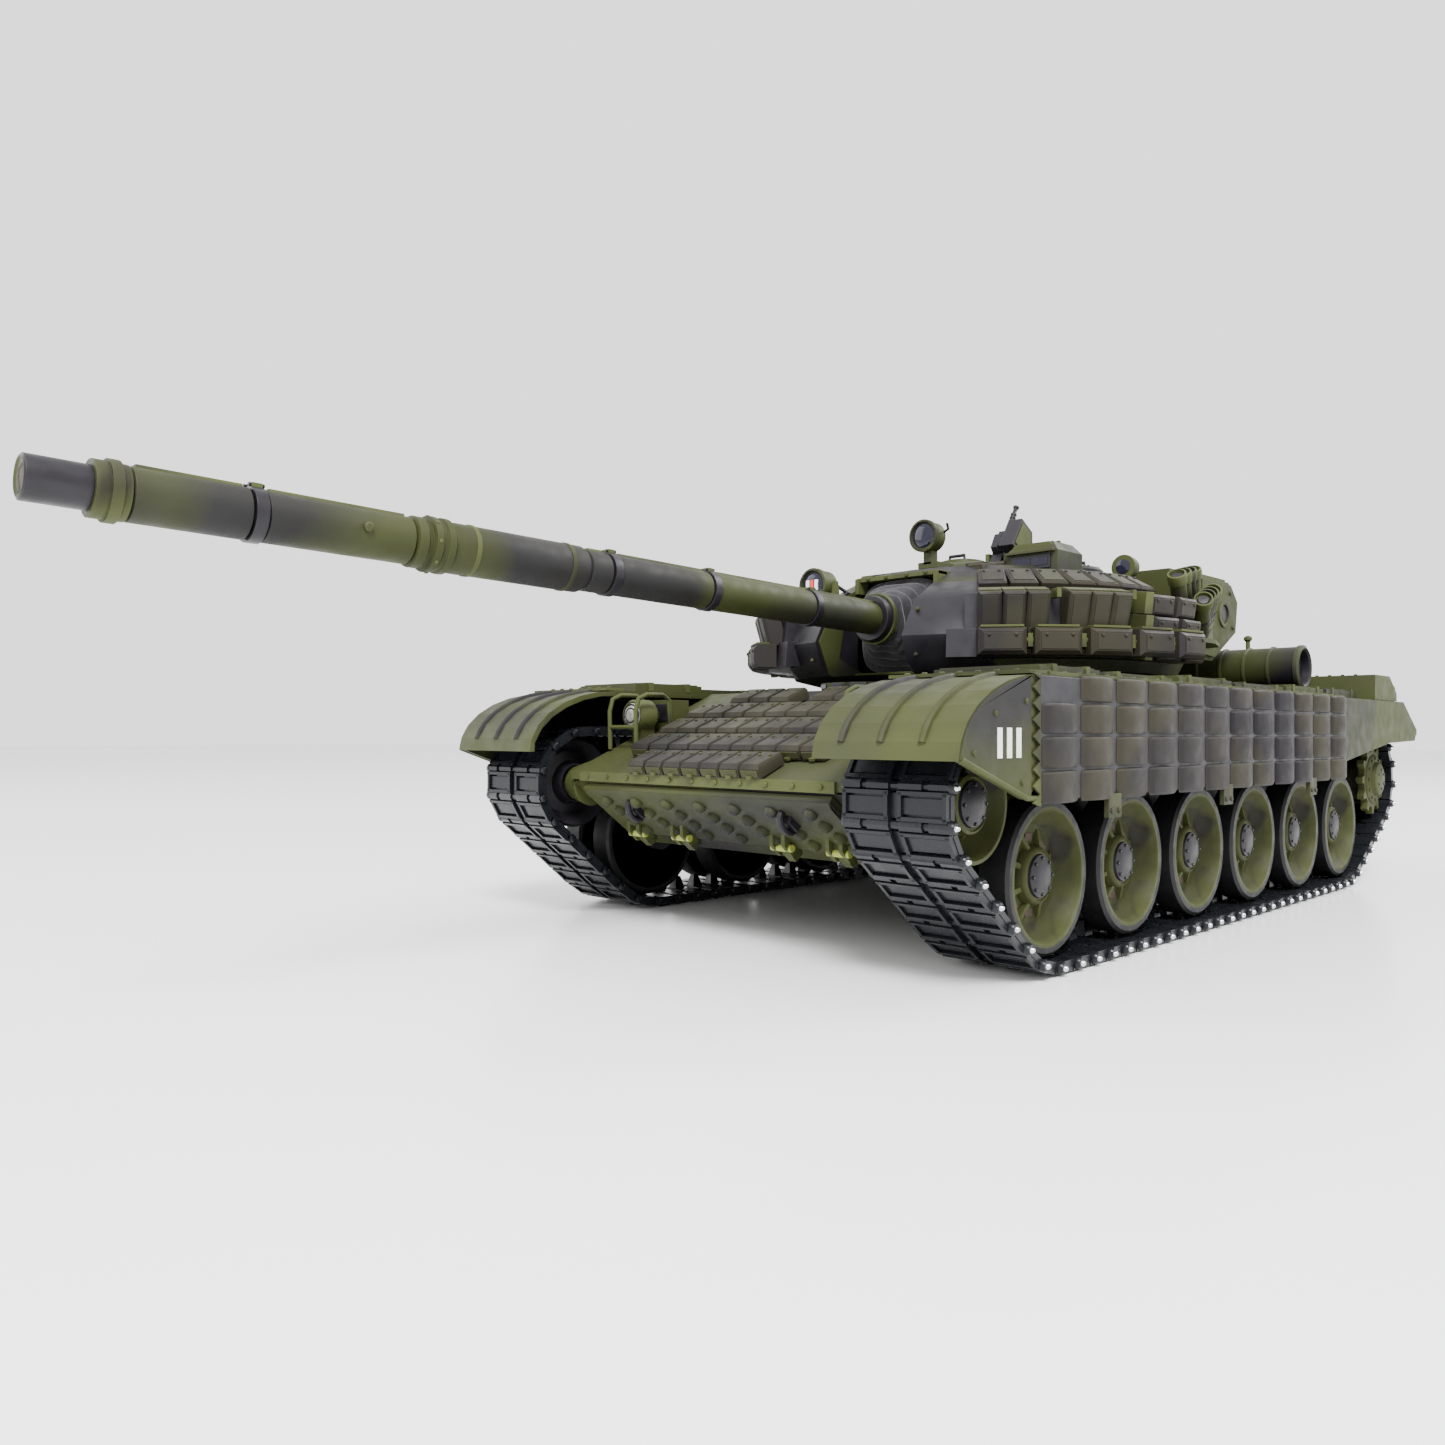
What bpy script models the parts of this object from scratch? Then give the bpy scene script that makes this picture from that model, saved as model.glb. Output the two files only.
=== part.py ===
"""A 1:16 radio-controlled battle tank with reactive armour.

All sizes are millimetres in the hull's frame: Y = 0 midway along the wheelbase, the gun points
to -Y, the tank's left is +X and the ground is Z = 0. MM turns them into metres, and the empty
`tank` carries everything to the middle of the whole object's footprint.
"""

import math

import bmesh
import bpy
from mathutils import Vector

MM = 0.001

# Overall stations along the length
MUZZLE_Y = -374.0
DRUM_REAR_Y = 233.0
FOOTPRINT_SHIFT = -(MUZZLE_Y + DRUM_REAR_Y) / 2
GAP = 0.3  # between pieces that sit on each other

# Running gear
WHEEL_COUNT = 6
WHEEL_Y = [-135.4 + 53.66 * k for k in range(WHEEL_COUNT)]
WHEEL_Z = 28.1
TYRE_R = 23.2
WHEEL_X = (74.4, 101.6)
SPINDLE_R = 2.7
ARM_X = (66.5, 73.5)
ARM_OFFSET = (-13.0, 8.5)  # from the wheel's axle to the arm's pivot
PIVOT_R = 3.0
TRACK_X = (70.0, 106.0)
TRACK_HALF = 2.2  # half of the track's thickness
BAND_R = WHEEL_Z - TRACK_HALF  # pin line round a road wheel
IDLER = (-172.5, 50.8)
IDLER_BAND_R = 19.5
SPROCKET = (184.0, 48.0)
SPROCKET_BAND_R = 20.2
AXLE_R = 4.0
BAND_STEP = 15  # degrees between the band's corners
ROUND = 16  # sides of a turned piece
WHEEL_STEPS = 14  # sides of a road wheel

# Hull
HULL_X = 66.0
WALL = 3.0
BELLY_Z = 28.0
DECK_Z = 86.0
PLATE = 3.0
NOSE = (-182.3, 55.5)
GLACIS_TOP_Y = -110.0
DECK_JOINT_Y = 72.0
TUB_REAR_Y = 199.0
FENDER_X = (66.3, 113.3)
SKIRT_X = (113.6, 116.2)

# Turret and gun
TURRET = (0.0, -12.0)
RING_R = 58.0
RING_GAP = 0.6
SHELL = [(89.5, 66.0), (93.0, 80.0), (106.0, 86.0), (120.0, 78.0), (131.0, 60.0), (136.0, 50.0)]
SHELL_STEPS = 32
NOTCH_X = 20.0
TRUNNION = (-58.0, 113.6)
GUN_TILT = math.degrees(math.atan2(122.4 - 113.6, -58.0 - MUZZLE_Y))
CUPOLA = (-24.0, 14.0)
CUPOLA_R = 20.5
CUPOLA_Z = (136.3, 149.0)
MG_PIVOT = (-22.0, 42.0, 154.0)
MG_TILT = 60.0

FINISHES = {
    "olive": ((0.16, 0.19, 0.07), 0.6, 0.0),
    "armour": ((0.13, 0.115, 0.095), 0.65, 0.0),
    "dark": ((0.05, 0.045, 0.06), 0.6, 0.0),
    "track": ((0.03, 0.035, 0.045), 0.4, 0.6),
    "rubber": ((0.02, 0.02, 0.022), 0.8, 0.0),
    "canvas": ((0.05, 0.047, 0.055), 0.9, 0.0),
    "lens": ((0.06, 0.06, 0.11), 0.15, 0.0),
    "board": ((0.02, 0.16, 0.06), 0.5, 0.0),
    "battery": ((0.05, 0.1, 0.35), 0.5, 0.0),
    "steel": ((0.35, 0.35, 0.37), 0.35, 1.0),
}


def clear_scene():
    for obj in list(bpy.data.objects):
        bpy.data.objects.remove(obj)


def finish(name):
    """The Principled material of one finish, made on first use."""
    known = bpy.data.materials.get(name)
    if known:
        return known
    colour, roughness, metallic = FINISHES[name]
    made = bpy.data.materials.new(name)
    made.use_nodes = True
    shader = made.node_tree.nodes["Principled BSDF"]
    shader.inputs["Base Color"].default_value = (*colour, 1.0)
    shader.inputs["Roughness"].default_value = roughness
    shader.inputs["Metallic"].default_value = metallic
    return made


def solid(name, points, faces):
    """A closed mesh object from corner points in millimetres."""
    bm = bmesh.new()
    corners = [bm.verts.new(Vector(p) * MM) for p in points]
    for face in faces:
        bm.faces.new([corners[k] for k in face])
    bmesh.ops.remove_doubles(bm, verts=bm.verts, dist=1e-7)
    bmesh.ops.dissolve_degenerate(bm, edges=bm.edges, dist=1e-7)
    bmesh.ops.recalc_face_normals(bm, faces=bm.faces)
    mesh = bpy.data.meshes.new(name)
    bm.to_mesh(mesh)
    bm.free()
    obj = bpy.data.objects.new(name, mesh)
    bpy.context.scene.collection.objects.link(obj)
    return obj


def loft(name, rings):
    """Rings of equally many points, bridged in turn and capped at both ends."""
    count = len(rings[0])
    points = [p for ring in rings for p in ring]
    faces = [tuple(range(count)), tuple(range(len(points) - count, len(points)))]
    for level in range(len(rings) - 1):
        base = level * count
        for k in range(count):
            follow = (k + 1) % count
            faces.append((base + k, base + follow, base + count + follow, base + count + k))
    return solid(name, points, faces)


def prism_x(name, outline, x0, x1):
    """An outline in (Y, Z), extruded along X."""
    return loft(name, [[(x, y, z) for y, z in outline] for x in (x0, x1)])


def prism_y(name, outline, y0, y1):
    """An outline in (X, Z), extruded along Y."""
    return loft(name, [[(x, y, z) for x, z in outline] for y in (y0, y1)])


def prism_z(name, outline, z0, z1):
    """An outline in (X, Y), extruded along Z."""
    return loft(name, [[(x, y, z) for x, y in outline] for z in (z0, z1)])


def box(name, low, high):
    (x0, y0, z0), (x1, y1, z1) = low, high
    return prism_z(name, [(x0, y0), (x1, y0), (x1, y1), (x0, y1)], z0, z1)


def turned(name, profile, centre, axis, steps):
    """A closed (along, radius) profile turned about X, Y or Z through centre."""
    place = {
        "X": lambda a, u, v: (a, u, v),
        "Y": lambda a, u, v: (u, a, v),
        "Z": lambda a, u, v: (u, v, a),
    }[axis]
    count = len(profile)
    points = []
    for step in range(steps):
        angle = 2 * math.pi * step / steps
        for along, radius in profile:
            at = place(along, radius * math.cos(angle), radius * math.sin(angle))
            points.append(tuple(c + p for c, p in zip(centre, at)))
    faces = []
    for step in range(steps):
        one = step * count
        two = (step + 1) % steps * count
        for k in range(count):
            follow = (k + 1) % count
            faces.append((one + k, one + follow, two + follow, two + k))
    return solid(name, points, faces)


def rod(name, start, end, radius, steps=10):
    """A straight round bar between two points, by its end rings."""
    start, end = Vector(start), Vector(end)
    along = (end - start).normalized()
    side = along.orthogonal().normalized()
    other = along.cross(side)
    angles = [2 * math.pi * k / steps for k in range(steps)]
    rings = [
        [tuple(at + radius * (math.cos(a) * side + math.sin(a) * other)) for a in angles]
        for at in (start, end)
    ]
    return loft(name, rings)


def combine(base, others, operation):
    """Joins or cuts base with the others for good, and removes them."""
    for other in others:
        modifier = base.modifiers.new("combine", "BOOLEAN")
        modifier.operation = operation
        modifier.solver = "EXACT"
        modifier.object = other
    graph = bpy.context.evaluated_depsgraph_get()
    mesh = bpy.data.meshes.new_from_object(base.evaluated_get(graph))
    base.modifiers.clear()
    base.data = mesh
    for other in others:
        bpy.data.objects.remove(other)
    return base


def fuse(base, *others):
    return combine(base, others, "UNION")


def cut(base, *others):
    return combine(base, others, "DIFFERENCE")


def settle(obj, surface, origin=(0.0, 0.0, 0.0)):
    """Puts the object's origin on a point of its joint's axis, and hangs it on the tank."""
    shift = Vector(origin) * MM
    obj.data.transform(obj.matrix_world.Translation(-shift))
    obj.location = shift
    obj.parent = bpy.data.objects["tank"]
    obj.data.materials.clear()
    obj.data.materials.append(finish(surface))
    obj.data.shade_smooth()
    obj.data.set_sharp_from_angle(angle=math.radians(35))
    return obj


def tilted(obj, angle_deg, pivot):
    """Turns a solid about the X axis through pivot (Y, Z); positive lifts what is behind it."""
    angle = math.radians(angle_deg)
    y0, z0 = pivot[0] * MM, pivot[1] * MM
    for vertex in obj.data.vertices:
        y, z = vertex.co.y - y0, vertex.co.z - z0
        vertex.co.y = y0 + y * math.cos(angle) - z * math.sin(angle)
        vertex.co.z = z0 + y * math.sin(angle) + z * math.cos(angle)
    return obj


# ---------------------------------------------------------------- hull


def glacis_z(y, above=0.0):
    """Height of the sloping front plate at station y, plus a distance above it."""
    slope = (DECK_Z - NOSE[1]) / (GLACIS_TOP_Y - NOSE[0])
    return NOSE[1] + slope * (y - NOSE[0]) + above


def lower_hull():
    top_z = DECK_Z - PLATE - GAP
    outer = [
        (NOSE[0] + 0.6, NOSE[1] - 3.4),
        (-150.0, BELLY_Z),
        (178.0, BELLY_Z),
        (197.0, 44.0),
        (TUB_REAR_Y, top_z),
        (-109.0, top_z),
    ]
    inner = [
        (-168.0, 46.5),
        (-146.5, BELLY_Z + WALL),
        (174.5, BELLY_Z + WALL),
        (193.0, 46.5),
        (TUB_REAR_Y - WALL, top_z + 8),
        (-168.0, top_z + 8),
    ]
    tub = prism_x("lower_hull", outer, -HULL_X, HULL_X)
    cutters = [prism_x("bay", inner, WALL - HULL_X, HULL_X - WALL)]
    for wheel_y in WHEEL_Y:
        at = (0, wheel_y + ARM_OFFSET[0], WHEEL_Z + ARM_OFFSET[1])
        cutters.append(rod("bore", (-80, *at[1:]), (80, *at[1:]), PIVOT_R + GAP))
    cutters.append(rod("bore", (-80, *SPROCKET), (80, *SPROCKET), AXLE_R + GAP))
    tub = cut(tub, *cutters)
    axles = [
        rod("axle", (side * (HULL_X - 2), *IDLER), (side * 97.0, *IDLER), AXLE_R)
        for side in (1, -1)
    ]
    housings = [
        rod("housing", (side * (HULL_X - 2), *IDLER), (side * 74.0, *IDLER), 5.4)
        for side in (1, -1)
    ]
    drum_arms = [
        box(
            "drum_arm",
            (x - 1.5, TUB_REAR_Y - 1.5, 58.0),
            (x + 1.5, DRUM_REAR_Y - 20.0, 64.0),
        )
        for x in (-50.0, -14.0, 14.0, 50.0)
    ]
    return settle(fuse(tub, *axles, *housings, *drum_arms), "olive")


def upper_hull():
    outline = [
        NOSE,
        (GLACIS_TOP_Y, DECK_Z),
        (DECK_JOINT_Y, DECK_Z),
        (DECK_JOINT_Y, DECK_Z - PLATE),
        (GLACIS_TOP_Y + 0.6, DECK_Z - PLATE),
        (NOSE[0], NOSE[1] - PLATE + 0.3),
    ]
    plate = prism_x("upper_hull", outline, -HULL_X, HULL_X)
    well = turned(
        "well",
        [(70, 0), (70, RING_R + RING_GAP), (100, RING_R + RING_GAP), (100, 0)],
        (*TURRET, 0),
        "Z",
        SHELL_STEPS,
    )
    plate = cut(plate, well)
    hatch = turned(
        "hatch", [(DECK_Z - 1, 0), (DECK_Z - 1, 11), (DECK_Z + 2, 10), (DECK_Z + 2, 0)],
        (0, -91, 0), "Z", ROUND,
    )
    return settle(fuse(plate, hatch), "olive")


def engine_deck():
    outline = [
        (DECK_JOINT_Y + GAP, DECK_Z + 1.0),
        (190.0, DECK_Z + 1.0),
        (TUB_REAR_Y + 1.0, DECK_Z - 3.0),
        (DECK_JOINT_Y + GAP, DECK_Z - 3.0),
    ]
    deck = prism_x("engine_deck", outline, -HULL_X, HULL_X)
    ribs = [
        box("rib", (x - 2, y0, DECK_Z), (x + 2, y0 + 34, DECK_Z + 2.5))
        for y0 in (104.0, 146.0)
        for x in range(-48, 49, 12)
    ]
    return settle(fuse(deck, *ribs), "olive")


def glacis_armour():
    """Stepped rows of bricks on the front plate, narrow at the nose and wide behind it."""
    rows, pitch = 5, 15.6
    first_y = -181.5
    outline = [(first_y, glacis_z(first_y, GAP + 0.2))]
    for row in range(rows):
        y0 = first_y + row * pitch
        y1 = y0 + pitch - 2.0
        outline += [(y0, glacis_z(y0, 5.6)), (y1, glacis_z(y1, 3.4))]
        outline.append((y1, glacis_z(y1, 2.0)))
    last_y = first_y + rows * pitch - 2.0
    last_y = min(last_y, GLACIS_TOP_Y - 1.0)
    outline = [p for p in outline if p[0] <= last_y]
    outline.append((last_y, glacis_z(last_y, GAP + 0.2)))
    armour = prism_x("glacis_armour", outline, -33.0, 33.0)
    wings = [p for p in outline if p[0] > first_y + pitch - 0.1]
    wings = [(wings[0][0], glacis_z(wings[0][0], GAP + 0.2))] + wings
    sides = [prism_x("wing", wings, *sorted((side * 32.0, side * 48.0))) for side in (1, -1)]
    return settle(fuse(armour, *sides), "armour")


def dozer_blade():
    """The self-digging plate folded up against the lower front plate."""
    top = Vector((NOSE[0] + 0.6, NOSE[1] - 3.4))
    along = (Vector((-150.0, BELLY_Z)) - top).normalized()
    out = Vector((along.y, -along.x))

    def at(distance, proud):
        return tuple(top + along * distance + out * proud)

    plate = prism_x(
        "dozer_blade", [at(0.5, 0.4), at(0.5, 2.8), at(29.0, 2.8), at(31.0, 0.4)], -58.0, 58.0
    )
    brackets = [
        prism_x(
            "bracket",
            [at(21.0, 2.0), at(24.0, 6.0), at(31.5, 6.2), at(32.5, 2.5), at(30.0, 1.0)],
            x - 1.6,
            x + 1.6,
        )
        for x in (-47.4, -23.9, 23.9, 47.4)
    ]
    return settle(fuse(plate, *brackets), "olive")


def fender(side):
    """Track guard with a rounded front mudguard and a drooping tail."""
    arc = []
    for k in range(1, 7):
        angle = math.radians(13.0 * k)
        arc.append((-160.0 - 40.7 * math.sin(angle), 63.0 + 23.0 * math.cos(angle)))
    crown = [(190.0, DECK_Z), (-160.0, DECK_Z)] + arc + [(-200.7, 63.0)]
    under = [(-198.6, 63.0)] + [(y + 1.4, z - 1.6) for y, z in reversed(arc)]
    under += [(-160.0, DECK_Z - 2.0), (190.0, DECK_Z - 2.0)]
    x0, x1 = FENDER_X
    guard = prism_x("fender", crown + under, *sorted((side * x0, side * x1)))
    front = [(-162.0, 57.0), (-162.0, 85.0)] + [(y + 0.7, z - 0.8) for y, z in arc]
    front += [(-200.0, 63.2), (-169.0, 52.5)]
    rear = [
        (100.0, 58.3), (166.4, 66.0), (211.0, 67.0), (214.5, 72.0), (195.7, 80.3),
        (190.5, 85.3), (100.0, 85.3),
    ]
    panels = [
        prism_x("panel", outline, *sorted((side * (x1 - 2.0), side * x1)))
        for outline in (front, rear)
    ]
    tail = [
        (188.0, DECK_Z), (190.5, DECK_Z), (214.5, 72.5), (214.5, 70.0), (211.0, 70.0),
        (189.5, 83.6), (188.0, 84.0),
    ]
    panels.append(prism_x("tail", tail, *sorted((side * x0, side * x1))))
    guard = fuse(guard, *panels)
    guard.name = "left_fender" if side > 0 else "right_fender"
    return settle(guard, "olive")


def skirt(side):
    """Twelve columns of convex bricks hung along the guard."""
    columns = 12
    y0, y1 = -163.0, 98.0
    pitch = (y1 - y0) / columns
    inner, outer = SKIRT_X
    outline = [(side * inner, y1), (side * inner, y0)]
    for k in range(columns):
        left = y0 + k * pitch
        for part, bulge in ((0.02, 0.9), (0.2, 2.1), (0.5, 2.6), (0.8, 2.1), (0.98, 0.9)):
            outline.append((side * (inner + bulge), left + part * pitch))
    panel = prism_z("skirt", outline, 50.8, 86.0)
    step = box(
        "step",
        (min(side * 112, side * 120), y0 - 5, 78.4),
        (max(side * 112, side * 120), y0 + pitch - 0.2, 90.0),
    )
    panel = cut(panel, step)
    tabs = [
        box(
            "tab",
            (min(side * inner, side * (inner + 1.6)), y - 4, 45.5),
            (max(side * inner, side * (inner + 1.6)), y + 4, 52.0),
        )
        for y in (-122.0, -36.7, 51.2)
    ]
    panel = fuse(panel, *tabs)
    panel.name = "left_skirt_armour" if side > 0 else "right_skirt_armour"
    return settle(panel, "armour")


def headlight(side):
    x, y, z = side * 57.0, -155.0, 76.5
    lamp = turned(
        "lamp",
        [(-160.5, 0), (-160.5, 4.9), (-159.5, 5.6), (-152.0, 5.6), (-149.5, 3.0), (-149.5, 0)],
        (x, 0, z),
        "Y",
        16,
    )
    foot = prism_x(
        "foot",
        [
            (y - 3, glacis_z(y - 3, GAP + 0.1)),
            (y + 3, glacis_z(y + 3, GAP + 0.1)),
            (y + 3, z),
            (y - 3, z),
        ],
        x - 3,
        x + 3,
    )
    lamp = fuse(lamp, foot)
    lamp.name = "left_headlight" if side > 0 else "right_headlight"
    return settle(lamp, "olive")


def exhaust_outlet():
    """The engine's outlet on the left guard: a box with an open rear mouth."""
    low = (84.0, 148.0, DECK_Z + GAP)
    high = (112.0, 184.0, 98.0)
    outline = [
        (low[1], low[2]), (high[1], low[2]), (high[1], 90.0), (high[1] - 12.0, high[2]),
        (low[1], high[2]),
    ]
    outlet = prism_x("exhaust_outlet", outline, low[0], high[0])
    mouth = prism_y(
        "mouth", [(87.0, 88.5), (109.0, 88.5), (109.0, 95.5), (87.0, 95.5)], 154.0, 200.0
    )
    return settle(cut(outlet, mouth), "olive")


def fuel_drum(side):
    centre_y, centre_z, radius = DRUM_REAR_Y - 16.6, 84.0, 16.0
    rib = radius + 0.6
    x0, x1 = 5.0, 62.0
    profile = [(x0, 0), (x0, radius - 1), (x0 + 1, radius)]
    for x in (x0 + 18, x1 - 18):
        profile += [(x - 0.8, radius), (x, rib), (x + 0.8, radius)]
    profile += [(x1 - 1, radius), (x1, radius - 1), (x1, 0)]
    profile = [(side * along, r) for along, r in profile]
    drum = turned("drum", profile, (0, centre_y, centre_z), "X", ROUND)
    drum.name = "left_fuel_drum" if side > 0 else "right_fuel_drum"
    return settle(drum, "olive")


def battery_pack():
    pack = box("battery_pack", (-22, 10, BELLY_Z + WALL + GAP), (22, 100, 60))
    lead = box("lead", (-6, 96, 40), (6, 104, 48))
    return settle(fuse(pack, lead), "battery")


def control_board():
    board = box("control_board", (-40, -75, 60), (40, -5, 61.6))
    legs = [
        box("leg", (x - 2, y - 2, BELLY_Z + WALL + GAP), (x + 2, y + 2, 61))
        for x in (-36, 36)
        for y in (-71, -9)
    ]
    chips = [
        box("chip", (x, y, 61), (x + 12, y + 12, 65))
        for x, y in ((-30, -60), (-4, -50), (14, -30))
    ]
    return settle(fuse(board, *legs, *chips), "board")


def drive_gearbox(side):
    """Motor and reduction box behind the battery, bored for the sprocket's shaft."""
    low, high = (40.0, 150.0, BELLY_Z + WALL + 4.0), (58.0, 192.0, 68.0)
    outline = [
        (low[1], low[2]), (170.0, low[2]), (high[1] - 2, 52.0), (high[1] - 2, high[2]),
        (low[1], high[2]),
    ]
    case = prism_x("case", outline, *sorted((side * low[0], side * high[0])))
    motor = rod("motor", (side * 8.0, 163.0, 50.0), (side * 42.0, 163.0, 50.0), 12.0, ROUND)
    bore = rod("bore", (side * 50.0, *SPROCKET), (side * 64.0, *SPROCKET), AXLE_R + GAP)
    case = cut(fuse(case, motor), bore)
    case.name = "left_drive_gearbox" if side > 0 else "right_drive_gearbox"
    return settle(case, "steel")


# ---------------------------------------------------------------- running gear


def taut_band(grow):
    """Corners of a band pulled tight round the end wheels, grown outward by `grow`."""
    circles = [
        (WHEEL_Y[0], WHEEL_Z, BAND_R),
        (WHEEL_Y[-1], WHEEL_Z, BAND_R),
        (*SPROCKET, SPROCKET_BAND_R),
        (*IDLER, IDLER_BAND_R),
    ]
    points = set()
    for y, z, radius in circles:
        for degrees in range(0, 360, BAND_STEP):
            angle = math.radians(degrees)
            reach = radius + grow
            at = (y + reach * math.cos(angle), z + reach * math.sin(angle))
            points.add((round(at[0], 6), round(at[1], 6)))
    ordered = sorted(points)

    def half(run):
        kept = []
        for p in run:
            while len(kept) > 1:
                (ay, az), (by, bz) = kept[-2:]
                if (by - ay) * (p[1] - az) - (bz - az) * (p[0] - ay) > 1e-9:
                    break
                kept.pop()
            kept.append(p)
        return kept[:-1]

    return half(ordered) + half(ordered[::-1])


def track(side):
    """The track as one closed band; its links are drawn in when it is dressed."""
    x0, x1 = sorted((side * TRACK_X[0], side * TRACK_X[1]))
    inner, outer = taut_band(-TRACK_HALF), taut_band(TRACK_HALF)
    rings = []
    for (yi, zi), (yo, zo) in zip(inner, outer):
        rings.append([(x0, yi, zi), (x1, yi, zi), (x1, yo, zo), (x0, yo, zo)])
    points = [p for ring in rings for p in ring]
    count = len(rings)
    faces = []
    for k in range(count):
        one, two = 4 * k, 4 * ((k + 1) % count)
        for c in range(4):
            d = (c + 1) % 4
            faces.append((one + c, one + d, two + d, two + c))
    name = "left_track" if side > 0 else "right_track"
    return settle(solid(name, points, faces), "track")


def swing_arm(side, number):
    wheel_y = WHEEL_Y[number - 1]
    pivot = (wheel_y + ARM_OFFSET[0], WHEEL_Z + ARM_OFFSET[1])
    axle = (wheel_y, WHEEL_Z)
    x0, x1 = ARM_X
    boss = rod("boss", (side * x0, *pivot), (side * x1, *pivot), 5.0, 8)
    eye = rod("eye", (side * (x0 + 1), *axle), (side * x1, *axle), 5.0, 8)
    shaft = rod("shaft", (side * 56.0, *pivot), (side * (x0 + 1), *pivot), PIVOT_R, 8)
    spindle = rod("spindle", (side * (x1 - 1), *axle), (side * 96.0, *axle), SPINDLE_R, 8)
    run = Vector(axle) - Vector(pivot)
    across = Vector((-run.y, run.x)).normalized() * 3.6
    web = prism_x(
        "web",
        [tuple(Vector(e) + s * across) for e, s in ((pivot, 1), (axle, 1), (axle, -1), (pivot, -1))],
        *sorted((side * (x0 + 1.5), side * (x1 - 0.5))),
    )
    arm = fuse(boss, eye, shaft, spindle, web)
    arm.name = f"{'left' if side > 0 else 'right'}_swing_arm_{number}"
    return settle(arm, "dark", (0.0, *pivot))


def road_wheel(side, number):
    x0, x1 = WHEEL_X
    bore = SPINDLE_R + GAP
    profile = [
        (x0, bore), (x0, TYRE_R), (84.0, TYRE_R), (84.0, 15.0), (91.6, 15.0),
        (91.6, TYRE_R), (x1, TYRE_R), (94.5, 18.5), (100.0, 6.0), (100.0, 0.0),
        (97.0, 0.0), (97.0, bore),
    ]
    profile = [(side * along, r) for along, r in profile]
    name = f"{'left' if side > 0 else 'right'}_road_wheel_{number}"
    centre = (0.0, WHEEL_Y[number - 1], WHEEL_Z)
    return settle(turned(name, profile, centre, "X", WHEEL_STEPS), "olive", centre)


def idler_wheel(side):
    bore = AXLE_R + GAP
    profile = [
        (76.0, bore), (76.0, 17.0), (84.0, 17.0), (84.0, 12.0), (92.0, 12.0), (92.0, 17.0),
        (100.0, 17.0), (100.0, 14.5), (95.0, 12.5), (96.0, 7.0), (101.0, 5.5), (101.0, 0.0),
        (98.0, 0.0), (98.0, bore),
    ]
    profile = [(side * along, r) for along, r in profile]
    name = "left_idler_wheel" if side > 0 else "right_idler_wheel"
    centre = (0.0, *IDLER)
    return settle(turned(name, profile, centre, "X", ROUND), "olive", centre)


def drive_sprocket(side):
    """Two toothed rings on a hub, with the shaft that enters the gearbox."""
    teeth, root_r, tip_r = 12, 14.0, 17.2

    def ring(x0, x1):
        outline = []
        for k in range(teeth):
            for part, radius in ((-0.3, root_r), (-0.13, tip_r), (0.13, tip_r), (0.3, root_r)):
                angle = 2 * math.pi * (k + part) / teeth
                outline.append(
                    (SPROCKET[0] + radius * math.cos(angle), SPROCKET[1] + radius * math.sin(angle))
                )
        return prism_x("ring", outline, *sorted((side * x0, side * x1)))

    profile = [(54.0, 0), (54.0, AXLE_R), (70.0, AXLE_R), (70.0, 9.0), (73.5, 9.0), (73.5, 12.5)]
    profile += [(101.0, 12.5), (101.0, 8.0), (103.5, 6.5), (103.5, 0)]
    profile = [(side * along, r) for along, r in profile]
    centre = (0.0, *SPROCKET)
    sprocket = turned("sprocket", profile, centre, "X", ROUND)
    sprocket = fuse(sprocket, ring(74.0, 77.0), ring(98.5, 101.5))
    sprocket.name = "left_drive_sprocket" if side > 0 else "right_drive_sprocket"
    return settle(sprocket, "olive", centre)


# ---------------------------------------------------------------- turret


def shell_radius(z):
    """The turret wall's radius at a height."""
    for (z0, r0), (z1, r1) in zip(SHELL, SHELL[1:]):
        if z0 <= z <= z1:
            return r0 + (r1 - r0) * (z - z0) / (z1 - z0)
    return SHELL[-1][1]


def turret_shell():
    """A thick-walled dome, open below on its bearing ring and notched for the gun."""
    outer = [(80.0, 0)] + [(80.0, RING_R), (89.5, RING_R)] + SHELL + [(SHELL[-1][0], 0)]
    shell = turned("turret_shell", outer, (*TURRET, 0), "Z", SHELL_STEPS)
    hollow = [(79.0, 0), (79.0, RING_R - 4), (93.0, RING_R - 4), (100.0, 74.0), (118.0, 70.0)]
    hollow += [(131.5, 46.0), (131.5, 0)]
    room = turned("room", hollow, (*TURRET, 0), "Z", SHELL_STEPS)
    notch = box("notch", (-NOTCH_X, -110.0, 92.5), (NOTCH_X, -52.0, 133.2))
    shell = cut(shell, room, notch)
    bricks = [
        box("brick", (x - 7.2, y, z - 4.0), (x + 7.2, y + 14.5, z + 2.5))
        for z, y in ((134.5, -56.0), (136.5, -40.0))
        for x in (-22.5, -7.5, 7.5, 22.5)
    ]
    sight = prism_y(
        "sight",
        [(30, 134), (52, 130), (52, 141), (48, 145), (33, 145), (30, 141)],
        -38.0,
        -20.0,
    )
    seat = turned(
        "seat",
        [(134, 0), (134, 17.0), (137.6, 17.0), (137.6, 0)],
        (28, 16, 0),
        "Z",
        ROUND,
    )
    shell = fuse(shell, *bricks, sight, seat)
    return settle(shell, "olive", (*TURRET, 0.0))


def clear_of_shell(obj, away=0.4):
    """Cuts a piece back to the turret wall, with a small gap."""
    profile = [(80.0, 0)] + [(z, r + away) for z, r in SHELL]
    profile += [(150.0, SHELL[-1][1] + away), (150.0, 0)]
    return cut(obj, turned("wall", profile, (*TURRET, 0), "Z", SHELL_STEPS))


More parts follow.
